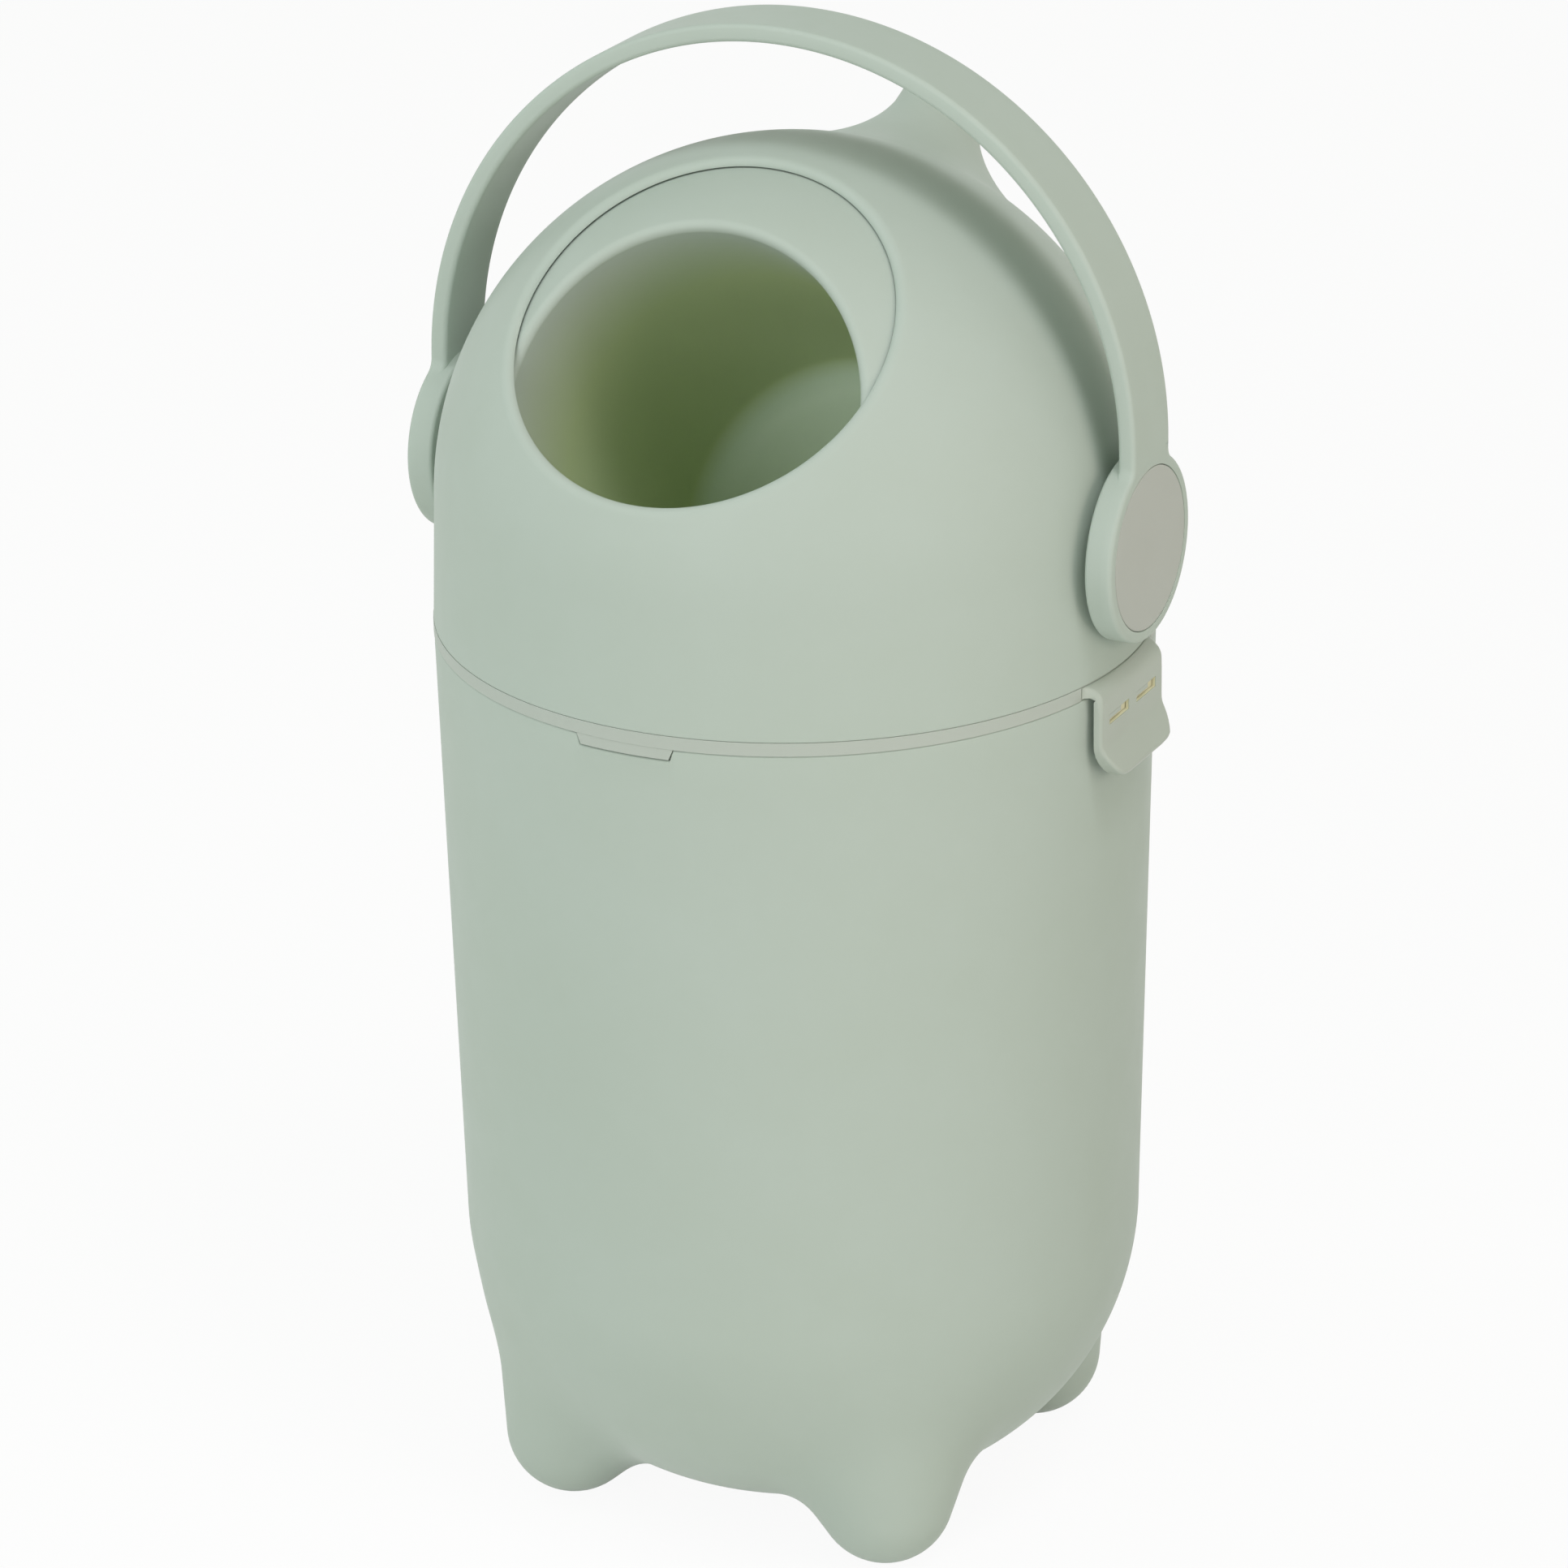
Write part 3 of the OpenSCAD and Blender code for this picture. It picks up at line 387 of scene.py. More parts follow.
def legDistance(p):
    # distance to the nearest of four round cones, from a foot's sphere to a thigh's sphere
    x, y = np.abs(p[..., 0]), np.abs(p[..., 1])  # the legs are mirror images
    out, side = (x + y) / math.sqrt(2), (x - y) / math.sqrt(2)
    a = np.array([tub["footOut"], tub["footR"]])
    b = np.array([tub["thighOut"], tub["thighZ"]])
    length = np.linalg.norm(b - a)
    axis = (b - a) / length
    along = (out - a[0]) * axis[0] + (p[..., 2] - a[1]) * axis[1]
    off = np.sqrt(side ** 2 + ((out - a[0]) * axis[1] - (p[..., 2] - a[1]) * axis[0]) ** 2)
    lean = (tub["footR"] - tub["thighR"]) / length
    rise = math.sqrt(1 - lean * lean)
    k = -lean * off + rise * along
    foot = np.hypot(off, along) - tub["footR"]
    thigh = np.hypot(off, along - length) - tub["thighR"]
    cone = rise * off + lean * along - tub["footR"]
    return np.where(k < 0, foot, np.where(k > rise * length, thigh, cone))


def tubDistance(p):
    # about the distance to the tapered wall and the round bowl below it
    r = np.hypot(p[..., 0], p[..., 1])
    wall = r - (tub["rimR"] - (tub["rimR"] - tub["bowlTopR"]) * (build["rimZ"] - p[..., 2]) /
                (build["rimZ"] - tub["bowlStart"]))
    u = np.clip(r - tub["bowlFlat"], 0, None) / (tub["bowlTopR"] - tub["bowlFlat"])
    w = (tub["bowlStart"] - p[..., 2]) / tub["bowlDrop"]
    bowl = (np.hypot(u, w) - 1) * 0.5 * (tub["bowlTopR"] - tub["bowlFlat"] + tub["bowlDrop"])
    return np.where(p[..., 2] > tub["bowlStart"], wall, bowl)


def tubSurface(p):
    return -smoothMax(-tubDistance(p), -legDistance(p), tub["blend"])


def reach(start, direction, inset):
    # step inwards along each ray until the surface lies inset inside
    t = np.full(direction.shape[:-1], tub["rayStart"])
    for step in range(tub["raySteps"]):
        t -= tub["rayShare"] * (tubSurface(start + t[..., None] * direction) + inset)
    return start + t[..., None] * direction


def tubRows(angles, inset, bowlRows, wallRows, top):
    # bowl rows by rays from a point on the axis, wall rows by level rays
    down = np.radians(np.linspace(90, 0, bowlRows + 1))[:, None]
    c, s = np.cos(angles)[None, :], np.sin(angles)[None, :]
    rays = np.stack([np.cos(down) * c, np.cos(down) * s, -np.sin(down) + 0 * c], -1)
    bowl = reach(np.array([0, 0, tub["bowlStart"]]), rays, inset)
    lift = np.linspace(0, 1, wallRows + 1)[1:, None] ** 1.5
    z = tub["bowlStart"] + lift * (top[None, :] - tub["bowlStart"])
    flat = np.stack([c + 0 * z, s + 0 * z, 0 * z], -1)
    start = np.stack([0 * z, 0 * z, z], -1)
    wall = reach(start, flat, inset)
    return np.concatenate([bowl, wall])


def makeTub():
    angles = tabAngles(tub["rimR"])
    top = build["rimZ"] - tabStep(angles, tub["rimR"])
    edge = tub["rimEdge"]
    outer = tubRows(angles, 0.0, *tub["outerRows"], top - edge)
    outer[..., 2] = np.maximum(outer[..., 2], tub["footCut"])
    inner = tubRows(angles, tub["wall"], *tub["innerRows"], top - edge)[::-1]
    inner[..., 2] = np.maximum(inner[..., 2], tub["innerFloor"])
    # the rim: a half round from the outer wall to the inner one
    c, s = np.cos(angles), np.sin(angles)
    rim = []
    for a in np.radians(np.linspace(0, 90, 5)[1:]):
        r = tub["rimR"] - edge + edge * math.cos(a)
        rim.append(np.stack([r * c, r * s, top - edge + edge * math.sin(a)], -1))
    for a in np.radians(np.linspace(90, 180, 5)[:-1]):
        r = tub["rimR"] - tub["wall"] + edge + edge * math.cos(a)
        rim.append(np.stack([r * c, r * s, top - edge + edge * math.sin(a)], -1))
    rows = np.concatenate([outer, np.array(rim), inner])
    parts = [(rows, gridFaces(len(rows), len(angles)))] + [lugPart(*lug) for lug in tub["lugs"]]
    return makePiece("tub", parts, "base", ["tub_shell"], finishes["tub"])


makeTub()
print("tub made")


# Dome with its opening and knob

dome = {
    "draw": 1.6, "openR": 75.0, "openTilt": 50.1, "edgeWide": 4.0, "edgeDeep": 3.2,
    "knobLean": 49.2, "knobNeck": 16.4, "knobFoot": 61.8, "knobTop": 180.4, "knobEdge": 6.0, "knobBlend": 0.8,
    "knobFrom": 121.4, "knobTo": 174.4, "knobPower": 1.75, "seamEdge": 0.25,
    "knobStart": -0.12, "knobRows": 90, "skirtSteps": 12,
    # columns and how much closer they stand at the knob, rows of the skins and of the opening's edge
    "columns": 336, "crowd": 0.45, "outerRows": 161, "innerRows": 61, "edgeRows": 13, "innerAway": 0.012,
}


def knobProfile(inset):
    # radius of the knob along its own axis, then its rounded tip; as angle and distance from the centre
    u = np.linspace(dome["knobStart"], 1, dome["knobRows"])
    s = dome["knobFrom"] + u * (dome["knobTo"] - dome["knobFrom"])
    r = dome["knobNeck"] - inset + (dome["knobFoot"] - dome["knobNeck"]) * (1 - u) ** dome["knobPower"]
    edge = dome["knobEdge"]
    s = np.concatenate([s, [dome["knobTop"] - edge - 0.1]])
    r = np.concatenate([r, [dome["knobNeck"] - inset]])
    tip = arcLine(dome["knobNeck"] - edge, dome["knobTop"] - edge, edge - inset, 0, 90, 14)
    r = np.concatenate([r, tip[:, 0], [0.0]])
    s = np.concatenate([s, tip[:, 1], [dome["knobTop"] - inset]])
    return np.arctan2(r, s)[::-1], np.hypot(r, s)[::-1]


def domeReach(direction, inset):
    # distance of the dome's skin from the drum's centre along each direction
    radius = build["domeR"] - inset
    level = np.hypot(direction[..., 0], direction[..., 1])
    drop = build["axisZ"] - build["seamZ"]
    reachTo = np.full(level.shape, radius)
    below = direction[..., 2] < 0
    for step in range(dome["skirtSteps"]):
        low = np.clip(-reachTo * direction[..., 2] / drop, 0, 1.2)
        skirt = (radius + dome["draw"] * low) / np.maximum(level, 0.2)
        reachTo = np.where(below, skirt, radius)
    lean = math.radians(dome["knobLean"])
    axis = np.array([0, math.sin(lean), math.cos(lean)])
    away = np.arccos(np.clip(direction @ axis, -1, 1))
    angle, far = knobProfile(inset)
    knob = np.interp(away, angle, far, right=0.0)
    return np.where(away < angle[-1], smoothMax(reachTo, knob, dome["knobBlend"]), reachTo)


def slerp(a, b, t):
    # great-circle way from a to b
    angle = np.arccos(np.clip((a * b).sum(-1, keepdims=True), -1, 1))
    return (np.sin((1 - t) * angle) * a + np.sin(t * angle) * b) / np.sin(angle)


def openingDirection(angles, turnAway):
    # directions at an angle from the opening's centre line
    tilt = math.radians(dome["openTilt"])
    axis = np.array([0, -math.cos(tilt), math.sin(tilt)])
    up = np.array([0, math.sin(tilt), math.cos(tilt)])
    ring = np.cos(angles)[:, None] * np.array([1, 0, 0]) + np.sin(angles)[:, None] * up
    return math.cos(turnAway) * axis + math.sin(turnAway) * ring


def makeDome():
    v = np.linspace(-1, 1, dome["columns"] + 1)[:-1]
    angles = pi / 2 + pi * (v - dome["crowd"] * np.sin(pi * v) / pi)
    centre = np.array([0, 0, build["axisZ"]])
    mouth = math.asin(dome["openR"] / (build["domeR"] - 1))
    wide = dome["edgeWide"] / build["domeR"]
    seamDrop = build["axisZ"] - build["seamZ"]

    def skirtEnd(inset, lift):
        level = build["domeR"] - inset + dome["draw"]
        low = np.stack([level * np.cos(angles), level * np.sin(angles), 0 * angles - seamDrop + lift], -1)
        return unit(low)

    rows = []
    # outer skin from the opening's soft edge down to the seam
    first = openingDirection(angles, mouth + wide)
    last = skirtEnd(0, dome["seamEdge"])
    for t in np.linspace(0, 1, dome["outerRows"]):
        d = unit(slerp(first, last, t))
        rows.append(centre + domeReach(d, 0.0)[:, None] * d)
    # the small round at the seam
    level = build["domeR"] + dome["draw"]
    for a in np.radians((30, 60, 90)):
        r = level - dome["seamEdge"] * (1 - math.cos(a))
        z = build["seamZ"] + dome["seamEdge"] * (1 - math.sin(a))
        rows.append(np.stack([r * np.cos(angles), r * np.sin(angles), 0 * angles + z], -1))
    # back up inside
    inFirst = openingDirection(angles, mouth + dome["innerAway"])
    inLast = skirtEnd(build["domeWall"], 0)
    for t in np.linspace(1, 0, dome["innerRows"]):
        d = unit(slerp(inFirst, inLast, t))
        rows.append(centre + domeReach(d, build["domeWall"])[:, None] * d)
    # the opening's edge: a quarter ellipse, wide along the skin and shallow across it
    for a in np.radians(np.linspace(90, 0, dome["edgeRows"])[:-1]):
        d = openingDirection(angles, mouth + wide * (1 - math.sin(a)))
        far = build["domeR"] - dome["edgeDeep"] * (1 - math.cos(a))
        rows.append(centre + far * d)
    rows = np.array(rows)
    parts = [(rows, gridFaces(len(rows), len(angles), True))]
    return makePiece("dome", parts, "head", ["dome_shell"], finishes["head"], 50)


makeDome()
print("dome made")


# Drum with its drop cup

drum = {
    "cupR": 70.6, "cupFloorR": 66.0, "cupDepth": 62.0, "cupFillet": 14.0, "lip": 3.0, "part": 36.0,
    "columnTurn": 1.25,
}


def makeDrum():
    turnAway = math.asin((drum["cupR"] + drum["lip"]) / (build["drumR"] - drum["lip"]))
    lipS = (build["drumR"] - drum["lip"]) * math.cos(turnAway)
    wall, inR = build["drumWall"], build["drumR"] - build["drumWall"]
    away = math.degrees(turnAway)
    low = math.degrees(math.asin(drum["part"] / build["drumR"]))
    lowIn = math.degrees(math.asin(drum["part"] / inR))
    fillet = drum["cupFillet"]
    floorR, floorS = drum["cupFloorR"] - fillet, fillet - drum["cupDepth"]
    profile = np.concatenate([
        line((0, -drum["cupDepth"]), (floorR * 0.5, -drum["cupDepth"])),
        arcLine(floorR, floorS, fillet, -90, 0, 12),
        np.stack([np.linspace(drum["cupFloorR"], drum["cupR"], 12)[1:-1],
                  np.linspace(floorS, lipS, 12)[1:-1]], -1),
        arcLine(drum["cupR"] + drum["lip"], lipS, drum["lip"], 180, 90 - away, 16),
        arcLine(0, 0, build["drumR"], 90 - away, -low, 60)[1:],
        arcLine(0, 0, inR, -lowIn, 90 - away, 40),
        arcLine(drum["cupR"] + drum["lip"], lipS, drum["lip"] - wall, 90 - away, 180, 6)[1:],
        arcLine(floorR, floorS, fillet + wall, 0, -90, 8),
        line((0, -drum["cupDepth"] - wall)),
    ])
    points, faces = turned(profile, np.radians(np.arange(0, 360, drum["columnTurn"])))
    points[..., 0] = np.clip(points[..., 0], -build["flatX"], build["flatX"])
    back = math.radians(90 - build["cupTilt"])
    place = [[1, 0, 0, 0], [0, math.cos(back), -math.sin(back), 0],
             [0, math.sin(back), math.cos(back), build["axisZ"]]]
    return makePiece("drumFront", [(turnedOn(place, points), faces)], "drum", ["drum_front_shell"],
                     finishes["drum"])


makeDrum()
print("drum made")


# Handle

handle = {
    "outX": 148.4, "thick": 7.0, "half": 16.0, "arm": 36.9, "lean": 1.8, "edge": 1.9,
    "hubR": 36.0, "hubIn": 137.5, "fillet": 6.0, "capSeat": 31.65, "discEdge": 1.4, "discSlack": 0.02,
    "discDeep": 3.0, "discTurn": 2, "edgeRows": 6, "archRows": 241, "hubSteps": 44,
    # loops between the seat and the rounded edge, and on the back
    "faceShares": (0.35, 0.7), "backShares": (0.5, 0.02),
    # the cap's seat from its middle to its rounded edge: share of the radius, depth
    "seatRings": [(0.02, 2.3), (1.0, 2.3), (1.0, 0.35), (1.004, 0.1), (1.012, 0.0)],
}


def hubOutline(shrink, count):
    # half of the hub and arm's outline, from the bottom round to the middle of the cut through the arm
    r, half, f = handle["hubR"], handle["half"], handle["fillet"]
    up = math.sqrt((r + f) ** 2 - (half + f) ** 2)  # height of the fillet's centre
    meet = math.degrees(math.atan2(half + f, up))
    r, half, f = r - shrink, half - shrink, f + shrink
    circle = arcLine(0, 0, r, -90, 90 - meet, count)
    fillet = arcLine(handle["half"] + handle["fillet"], up, f, 270 - meet, 180, 8)[1:]
    side = line((half, handle["arm"] - 0.4), (half, handle["arm"]))
    cut = np.stack([np.linspace(half, 0, 9)[1:], np.full(8, handle["arm"])], -1)
    return np.concatenate([circle, fillet, side, cut])


def bandRings(depths, shrinks):
    # one loop of the band's section: (y, depth below the outer face)
    half, t = handle["half"], handle["thick"]
    top = [(half - s, d) for s, d in zip(shrinks, depths)]
    low = [(half - s, t - d) for s, d in zip(shrinks[::-1], depths[::-1])]
    right = np.array(top + low)
    across = np.linspace(1, -1, 9)[1:-1]
    under = np.stack([right[-1, 0] * across, 0 * across + t], -1)
    over = np.stack([right[0, 0] * -across, 0 * across], -1)
    left = right[::-1] * [-1, 1]
    return np.concatenate([right, under, left, over])


def makeHandle():
    a = np.radians(np.linspace(0, 90, handle["edgeRows"]))
    shrinks = handle["edge"] * (1 - np.sin(a))
    depths = handle["edge"] * (1 - np.cos(a))
    out, top = handle["outX"], handle["arm"]
    parts = []
    # the arch: the section swept through half a turn, between the two arms
    section = bandRings(depths, shrinks)
    sweep = np.radians(np.linspace(0, 180, handle["archRows"]))[:, None]
    far = out - section[:, 1][None, :]
    arch = np.stack([far * np.cos(sweep), section[:, 0][None, :] + 0 * sweep, top + far * np.sin(sweep)], -1)
    parts.append((arch, gridFaces(*arch.shape[:2])))
    # each root: recess, flat face, rounded edge, side and back, as loops of the same outline
    for side in (1, -1):
        loops = []
        outline = [hubOutline(s, handle["hubSteps"]) for s in shrinks]
        full = [np.concatenate([o, (o * [-1, 1])[::-1][1:-1]]) for o in outline]
        first = full[0]
        ring = handle["capSeat"] * first / np.linalg.norm(first, axis=1, keepdims=True)
        for share, depth in handle["seatRings"]:
            loops.append(np.column_stack([ring * share, np.full(len(ring), out - depth)]))
        edge = ring * handle["seatRings"][-1][0]
        for f in handle["faceShares"]:
            loops.append(np.column_stack([edge * (1 - f) + first * f, np.full(len(ring), out)]))
        for o, d in zip(full, depths):
            loops.append(np.column_stack([o, np.full(len(o), out - d)]))
        for o, d in zip(full[::-1], depths[::-1]):
            loops.append(np.column_stack([o, np.full(len(o), out - handle["thick"] + d)]))
        for f in handle["backShares"]:
            loops.append(np.column_stack([first * f, np.full(len(first), out - handle["thick"])]))
        loops = np.array(loops)  # (y, z, x)
        root = np.stack([side * loops[..., 2], loops[..., 0], loops[..., 1]], -1)
        parts.append((root, gridFaces(*root.shape[:2])))
        # the hub's thicker inner disc
        inX, edge = handle["hubIn"], handle["discEdge"]
        radius, outX = handle["hubR"] - handle["discSlack"], out - handle["discDeep"]
        disc = np.concatenate([
            line((0, inX)), line((radius - edge, inX)), arcLine(radius - edge, inX + edge, edge, -90, 0, 6),
            line((radius, outX), (0, outX))])
        points, faces = turned(disc, np.radians(np.arange(0, 360, handle["discTurn"])))
        points = np.stack([side * points[..., 2], points[..., 1], points[..., 0]], -1)
        parts.append((points, faces))
    lean = math.radians(handle["lean"])
    place = [[1, 0, 0, 0], [0, math.cos(lean), math.sin(lean), 0],
             [0, -math.sin(lean), math.cos(lean), build["axisZ"]]]
    parts = [(turnedOn(place, p), f) for p, f in parts]
    return makePiece("handle", parts, "drum", ["handle_arch"], finishes["handle"], 35)


makeHandle()
cap = {"r": 31.4, "inX": 146.2, "outX": 148.32, "edge": 0.5, "crown": 0.12}


def makeCaps():
    for side, node in ((1, "hub_cap_right"), (-1, "hub_cap_left")):
        r = np.linspace(0, cap["r"] - cap["edge"], 14)
        face = np.stack([r, cap["outX"] + cap["crown"] * (1 - (r / cap["r"]) ** 2)], -1)
        profile = np.concatenate([
            face, arcLine(cap["r"] - cap["edge"], cap["outX"] - cap["edge"], cap["edge"], 90, 0, 5)[1:],
            line((cap["r"], cap["inX"]), (0, cap["inX"]))])
        points, faces = turned(profile, fullTurn)
        place = [[0, 0, side, 0], [0, 1, 0, 0], [1, 0, 0, build["axisZ"]]]
        makePiece("cap_" + ("right" if side > 0 else "left"), [(turnedOn(place, points), faces)], "drum",
                  [node], finishes["cap"])


makeCaps()
print("handle and caps made")


# Head ring, taken from the construction

def bevelEdges(piece, width, angle):
    bevel = piece.modifiers.new("edges", "BEVEL")
    bevel.width, bevel.segments = width * mm, 2
    bevel.limit_method, bevel.angle_limit = "ANGLE", math.radians(angle)
    bevel.harden_normals = True


ring = {
    "mergeTo": 2e-6, "flatTo": 0.6, "sharp": 30, "bevel": 0.2,
    "tabFrom": [-200, -22.4, 22.4, 40, 200], "tabTo": [-200, -22.4, 18.6, 40, 200],
    "leafX": -138.6, "leafFrom": 20.0, "leafStretch": 1.37,
}


def ringShape(x, y, z):
    # the tab's right side 3.8 mm further in, and the hinge leaf 2.2 mm longer at both ends
    if y < -100:
        newX = np.interp(x, ring["tabFrom"], ring["tabTo"])
        x, y = newX, -math.sqrt(x * x + y * y - newX * newX)
    if x < ring["leafX"] and z < build["rimZ"] and abs(y) > ring["leafFrom"]:
        y = math.copysign(ring["leafFrom"] + (abs(y) - ring["leafFrom"]) * ring["leafStretch"], y)
    return x, y, z


def makeRing():
    # a merged copy of the construction's ring, its flat faces cleaned, reshaped and its edges rounded
    mesh = bpy.data.objects["head_ring"].data.copy()
    mesh.name = "headRing"
    mesh.materials.clear()
    bm = bmesh.new()
    bm.from_mesh(mesh)
    bmesh.ops.remove_doubles(bm, verts=bm.verts, dist=ring["mergeTo"])
    bmesh.ops.dissolve_limit(bm, angle_limit=math.radians(ring["flatTo"]), verts=bm.verts, edges=bm.edges)
    for vert in bm.verts:
        vert.co = Vector(ringShape(*(vert.co / mm))) * mm
    bm.to_mesh(mesh)
    bm.free()
    piece = settle("headRing", mesh, "head", ["head_ring"], finishes["ring"], ring["sharp"])
    bevelEdges(piece, ring["bevel"], ring["sharp"])


makeRing()


# Latch

latch = {
    "half": 28.0, "corner": 16.0, "low": 323.0, "stepZ": 357.9, "topZ": 362.1, "shoulder": 30.8, "topR": 138.1,
    "backR": 137.75, "slotIn": 3.4, "slotOut": 21.1, "slotLow": 345.1, "slotTop": 349.3, "bendZ": 354.0,
    "dropZ": 351.0, "endIn": 26.3, "endWide": 4.2, "ribWide": 2.1, "ribSoft": 0.5, "sharp": 50, "bevel": 0.22,
    "ribInZ": [323, 325, 329, 331, 335, 337, 340], "ribInX": [140.7, 140.7, 139.8, 139.1, 138.4, 138.1, 138.1],
    "sideRound": 1.7, "lowRound": 3.2, "thick": 1.55, "pinR": 1.0, "pinHalf": 23.6, "pinEdge": 0.2, "lugR": 1.7,
    "lug": (20.9, 24.2), "lugTo": 142.6,
    # height and distance out of the plate's face, from the bottom up
    "face": [(323, 145.6), (324.5, 147.1), (326, 148.1), (327.3, 148.0), (330, 146.2), (333, 144.25),
             (335, 142.95), (336, 142.35), (337, 141.85), (338.3, 141.58), (340, 141.5), (354, 141.5)],
    "thickLow": 0.7, "lowFrom": 4, "leastThick": 0.3,
    # the plate's grid: steps in from the rounded edge, even columns up to the slots' ends, other columns and rows
    "near": [0.0, 0.06, 0.2, 0.42, 0.72, 1.1, 1.6, 2.3, 3.2, 4.3],
    "evenColumns": 26, "columns": [22.4, 29.0, 30.0], "evenRows": [(328, 345, 0.8), (352, 356.1, 0.5)],
    "rows": [346.5, 348, 351, 356.9, 358.9, 360, 361, 361.7],
}


def platePart(y, z, front, back, kept):
    # two skins over one grid of points, with walls round the kept cells
    n = np.arange(y.size).reshape(y.shape)
    size = y.size
    points = np.concatenate([np.stack([x, y, z], -1).reshape(-1, 3) for x in (front, back)])
    cell = np.stack([n[:-1, :-1], n[:-1, 1:], n[1:, 1:], n[1:, :-1]], -1)[kept]
    padded = np.pad(kept, 1)
    level = np.stack([n[:, :-1], n[:, 1:]], -1)[padded[1:, 1:-1] != padded[:-1, 1:-1]]
    upright = np.stack([n[:-1, :], n[1:, :]], -1)[padded[1:-1, 1:] != padded[1:-1, :-1]]
    edges = np.concatenate([level, upright])
    walls = np.column_stack([edges, edges[:, ::-1] + size])
    return points, np.concatenate([cell, cell[:, ::-1] + size, walls]).tolist()


def makeLatch():
    low, corner, half = latch["low"], latch["corner"], latch["half"]
    near = np.array(latch["near"])
    even = np.linspace(0, latch["slotOut"], latch["evenColumns"])[:-1]
    columns = np.concatenate([even, [latch["slotIn"], latch["slotOut"], latch["shoulder"]], latch["columns"],
                              half - near])
    columns = np.unique(np.concatenate([-columns, columns]).round(4))
    even = [np.arange(*span) for span in latch["evenRows"]]
    rows = np.unique(np.concatenate([
        low + near, *even, latch["rows"],
        [latch["slotLow"], latch["slotTop"], latch["stepZ"], latch["topZ"]]]).round(4))
    column, z = np.meshgrid(columns, rows)
    sunk = np.clip(low + corner - z, 0, corner)
    wide = half - corner + np.sqrt(corner ** 2 - sunk ** 2)  # the outline's half width at each height
    y = column * wide / half
    # distance in from the outline, and how far its normal points down
    offY, offZ = np.clip(np.abs(y) - (half - corner), 0, None), sunk
    length = np.maximum(np.hypot(offY, offZ), 1e-6)
    inside = np.clip(corner - length, 0, None)
    radius = latch["sideRound"] + (latch["lowRound"] - latch["sideRound"]) * (offZ / length) ** 2
    heights, faceX = np.array(latch["face"]).T
    plate = np.interp(z, heights, faceX)
    short = np.clip(1 - inside / radius, 0, 1)
    drop = radius * (1 - np.sqrt(1 - short ** 2))
    # the shoulder leans from the plate to the dome's edge, and is flush with the band at its ends
    topX = np.sqrt(latch["topR"] ** 2 - y ** 2)
    rise = np.clip((z - latch["bendZ"]) / (latch["topZ"] - latch["bendZ"]), 0, 1)
    ends = np.clip((np.abs(y) - latch["endIn"]) / latch["endWide"], 0, 1)
    ends = ends * ends * (3 - 2 * ends)
    fade = np.clip((z - latch["dropZ"]) / (latch["stepZ"] - latch["dropZ"]), 0, 1)
    shoulder = topX + (plate - topX) * (1 - rise ** 3) * (1 - ends * fade)
    front = shoulder - drop * (1 - fade)
    rib = np.clip((latch["ribWide"] - inside) / latch["ribSoft"], 0, 1) * (z < latch["stepZ"] - 1)
    panel = plate - latch["thick"] - latch["thickLow"] * (sunk > latch["lowFrom"])
    back = panel + rib * (np.interp(z, latch["ribInZ"], latch["ribInX"]) - panel)
    back = np.where(z > latch["stepZ"] - 0.2, np.sqrt(latch["backR"] ** 2 - y ** 2), back)
    back = np.minimum(back, front - latch["leastThick"])
    middleY, middleZ = (columns[1:] + columns[:-1]) / 2, (rows[1:] + rows[:-1]) / 2
    cellY, cellZ = np.meshgrid(np.abs(middleY), middleZ)
    slot = ((cellY > latch["slotIn"]) & (cellY < latch["slotOut"]) & (cellZ > latch["slotLow"]) &
            (cellZ < latch["slotTop"]))
    wing = (cellY > half) & (cellZ < latch["stepZ"])
    parts = [platePart(y, z, front, back, ~(slot | wing))]
    for a, b in (latch["lug"], (-latch["lug"][1], -latch["lug"][0])):
        parts.append(lugPart(build["latchX"], latch["lugR"], latch["lugTo"], a, b))
    piece = makePiece("latchFlap", parts, "latch", ["latch_flap"], finishes["latch"], 40)
    bevelEdges(piece, latch["bevel"], latch["sharp"])


def makeLatchPin():
    r, end, edge = latch["pinR"], latch["pinHalf"], latch["pinEdge"]
    profile = line((0, -end), (r - edge, -end), (r, edge - end), (r, end - edge), (r - edge, end), (0, end))
    points, faces = turned(profile, fullTurn[::6])
    place = [[1, 0, 0, build["latchX"]], [0, 0, 1, 0], [0, -1, 0, build["pivotZ"]]]
    makePiece("latchPin", [(turnedOn(place, points), faces)], "base", ["latch_pin"], finishes["steel"])


makeLatch()
makeLatchPin()
print("ring and latch made")

# The rest of the construction keeps its solids and gets its finish, the drum's rear shell without the cup's painted
# shade
slotFinish = {
    "tub_plastic": "tub", "head_plastic": "head", "drum_plastic": "tub", "handle_plastic": "handle",
    "cap_plastic": "cap", "white_plastic": "white", "soft_rubber": "rubber", "steel": "steel",
}
for part in frame["record"]["subparts"]:
    shown = bpy.data.objects.get(part["node"])
    if shown is None:
        continue
    for place in shown.material_slots:
        place.material = finishes[slotFinish[part["material_slot"]]]


# Floor, light and camera

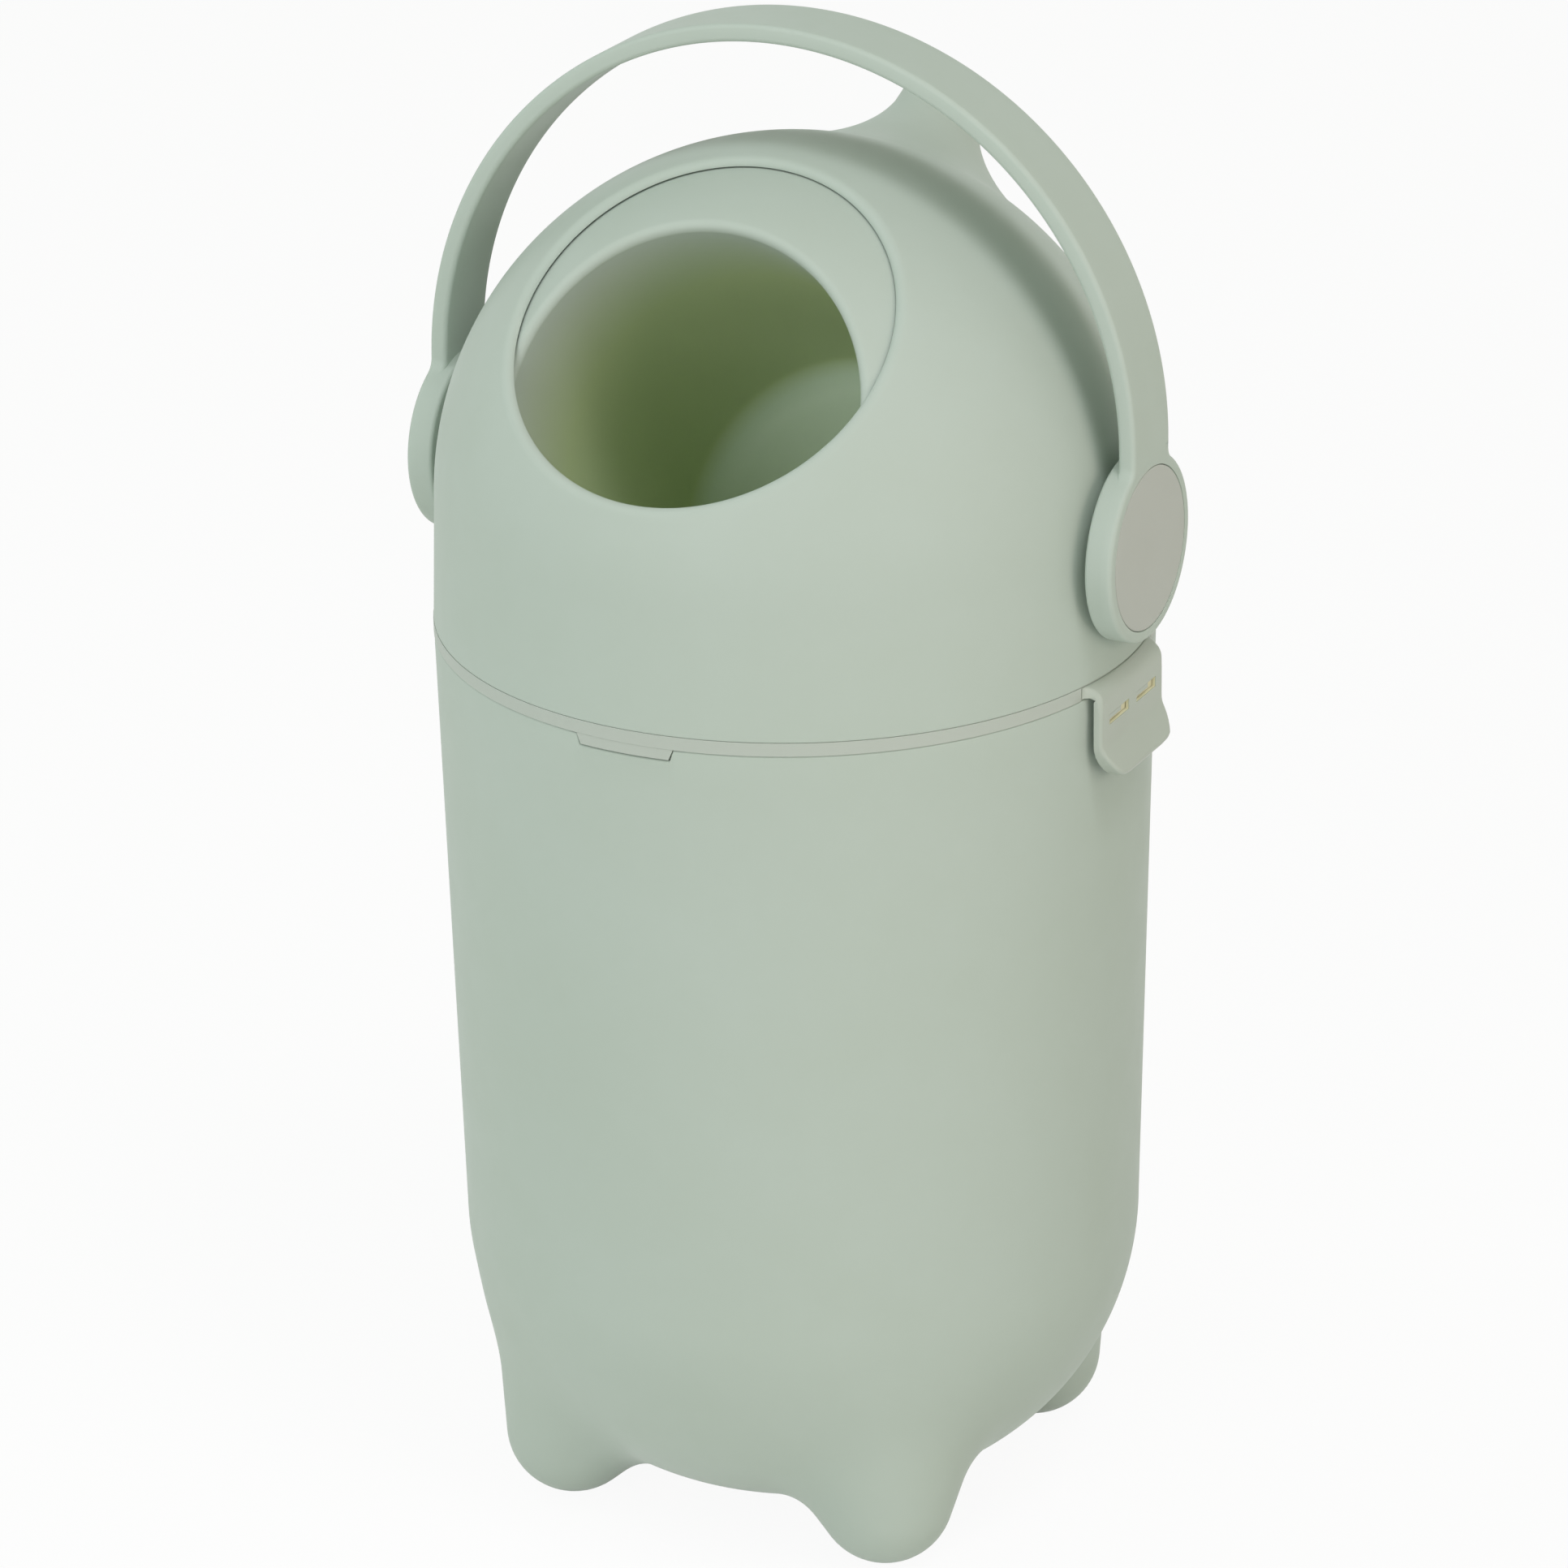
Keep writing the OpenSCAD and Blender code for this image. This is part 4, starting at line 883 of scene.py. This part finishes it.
studio = {
    "floor": 6.0, "floorTone": (0.9, 0.9, 0.88, 1), "floorGlow": 0.93, "floorRough": 0.9,
    "world": 0.36, "worldTint": (0.92, 1.0, 0.82, 1), "aim": (0, 0, 0.35),
    "camera": (1.18249, -2.33334, 1.39814), "lens": 168.909, "sensor": 36.0, "clip": (0.1, 50),
    "look": (-0.417761, 0.820275, -0.390672), "roll": -0.871,
    # name, place, size, power and colour
    "lamps": [
        ("frontLamp", (0.0, -2.8, 1.3), 1.6, 26.4, (0.915, 0.908, 1.0)),
        ("rightLamp", (2.4, -0.6, 1.2), 1.4, 12.9, (1.0, 0.82, 0.807)),
        ("leftLamp", (-2.4, -0.8, 1.2), 1.4, 8.9, (0.92, 0.962, 1.0)),
        ("overRightLamp", (1.2, -0.6, 2.3), 1.2, 7.6, (0.99, 0.952, 1.0)),
        ("overLeftLamp", (-1.2, -0.6, 2.3), 1.2, 6.8, (0.88, 0.917, 1.0)),
        ("smallLamp", (0.9, -0.5, 2.4), 0.5, 6.3, (0.909, 0.909, 1.0)),
    ],
}


def makeFloor():
    half = studio["floor"]
    mesh = bpy.data.meshes.new("floor")
    mesh.from_pydata([(-half, -half, 0), (half, -half, 0), (half, half, 0), (-half, half, 0)], [], [(0, 1, 2, 3)])
    floor = bpy.data.objects.new("floor", mesh)
    bpy.context.scene.collection.objects.link(floor)
    r, shader = newFinish("paleFloor")
    shader["Base Color"].default_value = studio["floorTone"]
    shader["Roughness"].default_value = studio["floorRough"]
    glow = r.node("ShaderNodeEmission", {}, {"Color": (1, 1, 1, 1), "Strength": 1.0})
    plain = Wire(r, r.tree.nodes["Principled BSDF"].outputs[0])
    mixed = r.node("ShaderNodeMixShader", {}, {0: r.background() * studio["floorGlow"], 1: plain, 2: glow})
    r.feed(r.tree.nodes["Material Output"].inputs["Surface"], mixed)
    mesh.materials.append(r.owner)


def makeWorld():
    r = Recipe(bpy.data.worlds.new("studio"))
    bpy.context.scene.world = r.owner
    sky = r.tree.nodes["Background"].inputs
    r.feed(sky["Color"], r.blendColour(r.background(), studio["worldTint"], (1, 1, 1, 1)))
    r.feed(sky["Strength"], r.node("ShaderNodeMix", {"data_type": "FLOAT"}, {
        0: r.background(), 2: studio["world"], 3: 1.0}))


def makeLamps():
    for name, place, size, power, colour in studio["lamps"]:
        data = bpy.data.lights.new(name, "AREA")
        data.shape, data.size, data.energy, data.color = "DISK", size, power, colour
        lamp = bpy.data.objects.new(name, data)
        bpy.context.scene.collection.objects.link(lamp)
        lamp.location = place
        aim = Vector(studio["aim"]) - Vector(place)
        lamp.rotation_euler = aim.to_track_quat("-Z", "Y").to_euler()


def makeCamera():
    data = bpy.data.cameras.new("camera")
    data.sensor_width, data.sensor_height, data.sensor_fit = studio["sensor"], studio["sensor"], "HORIZONTAL"
    data.lens = studio["lens"]
    data.clip_start, data.clip_end = studio["clip"]
    look = Vector(studio["look"]).normalized()
    right = look.cross(Vector((0, 0, 1))).normalized()
    up = right.cross(look)
    roll = math.radians(studio["roll"])
    right, up = right * math.cos(roll) + up * math.sin(roll), up * math.cos(roll) - right * math.sin(roll)
    matrix = Matrix((right, up, -look)).transposed().to_4x4()
    matrix.translation = Vector(studio["camera"])
    camera = bpy.data.objects.new("camera", data)
    bpy.context.scene.collection.objects.link(camera)
    camera.matrix_world = matrix
    bpy.context.scene.camera = camera


makeFloor()
makeWorld()
makeLamps()
makeCamera()
bpy.context.scene.view_settings.view_transform = "Standard"
print("studio made")

bpy.context.view_layer.update()
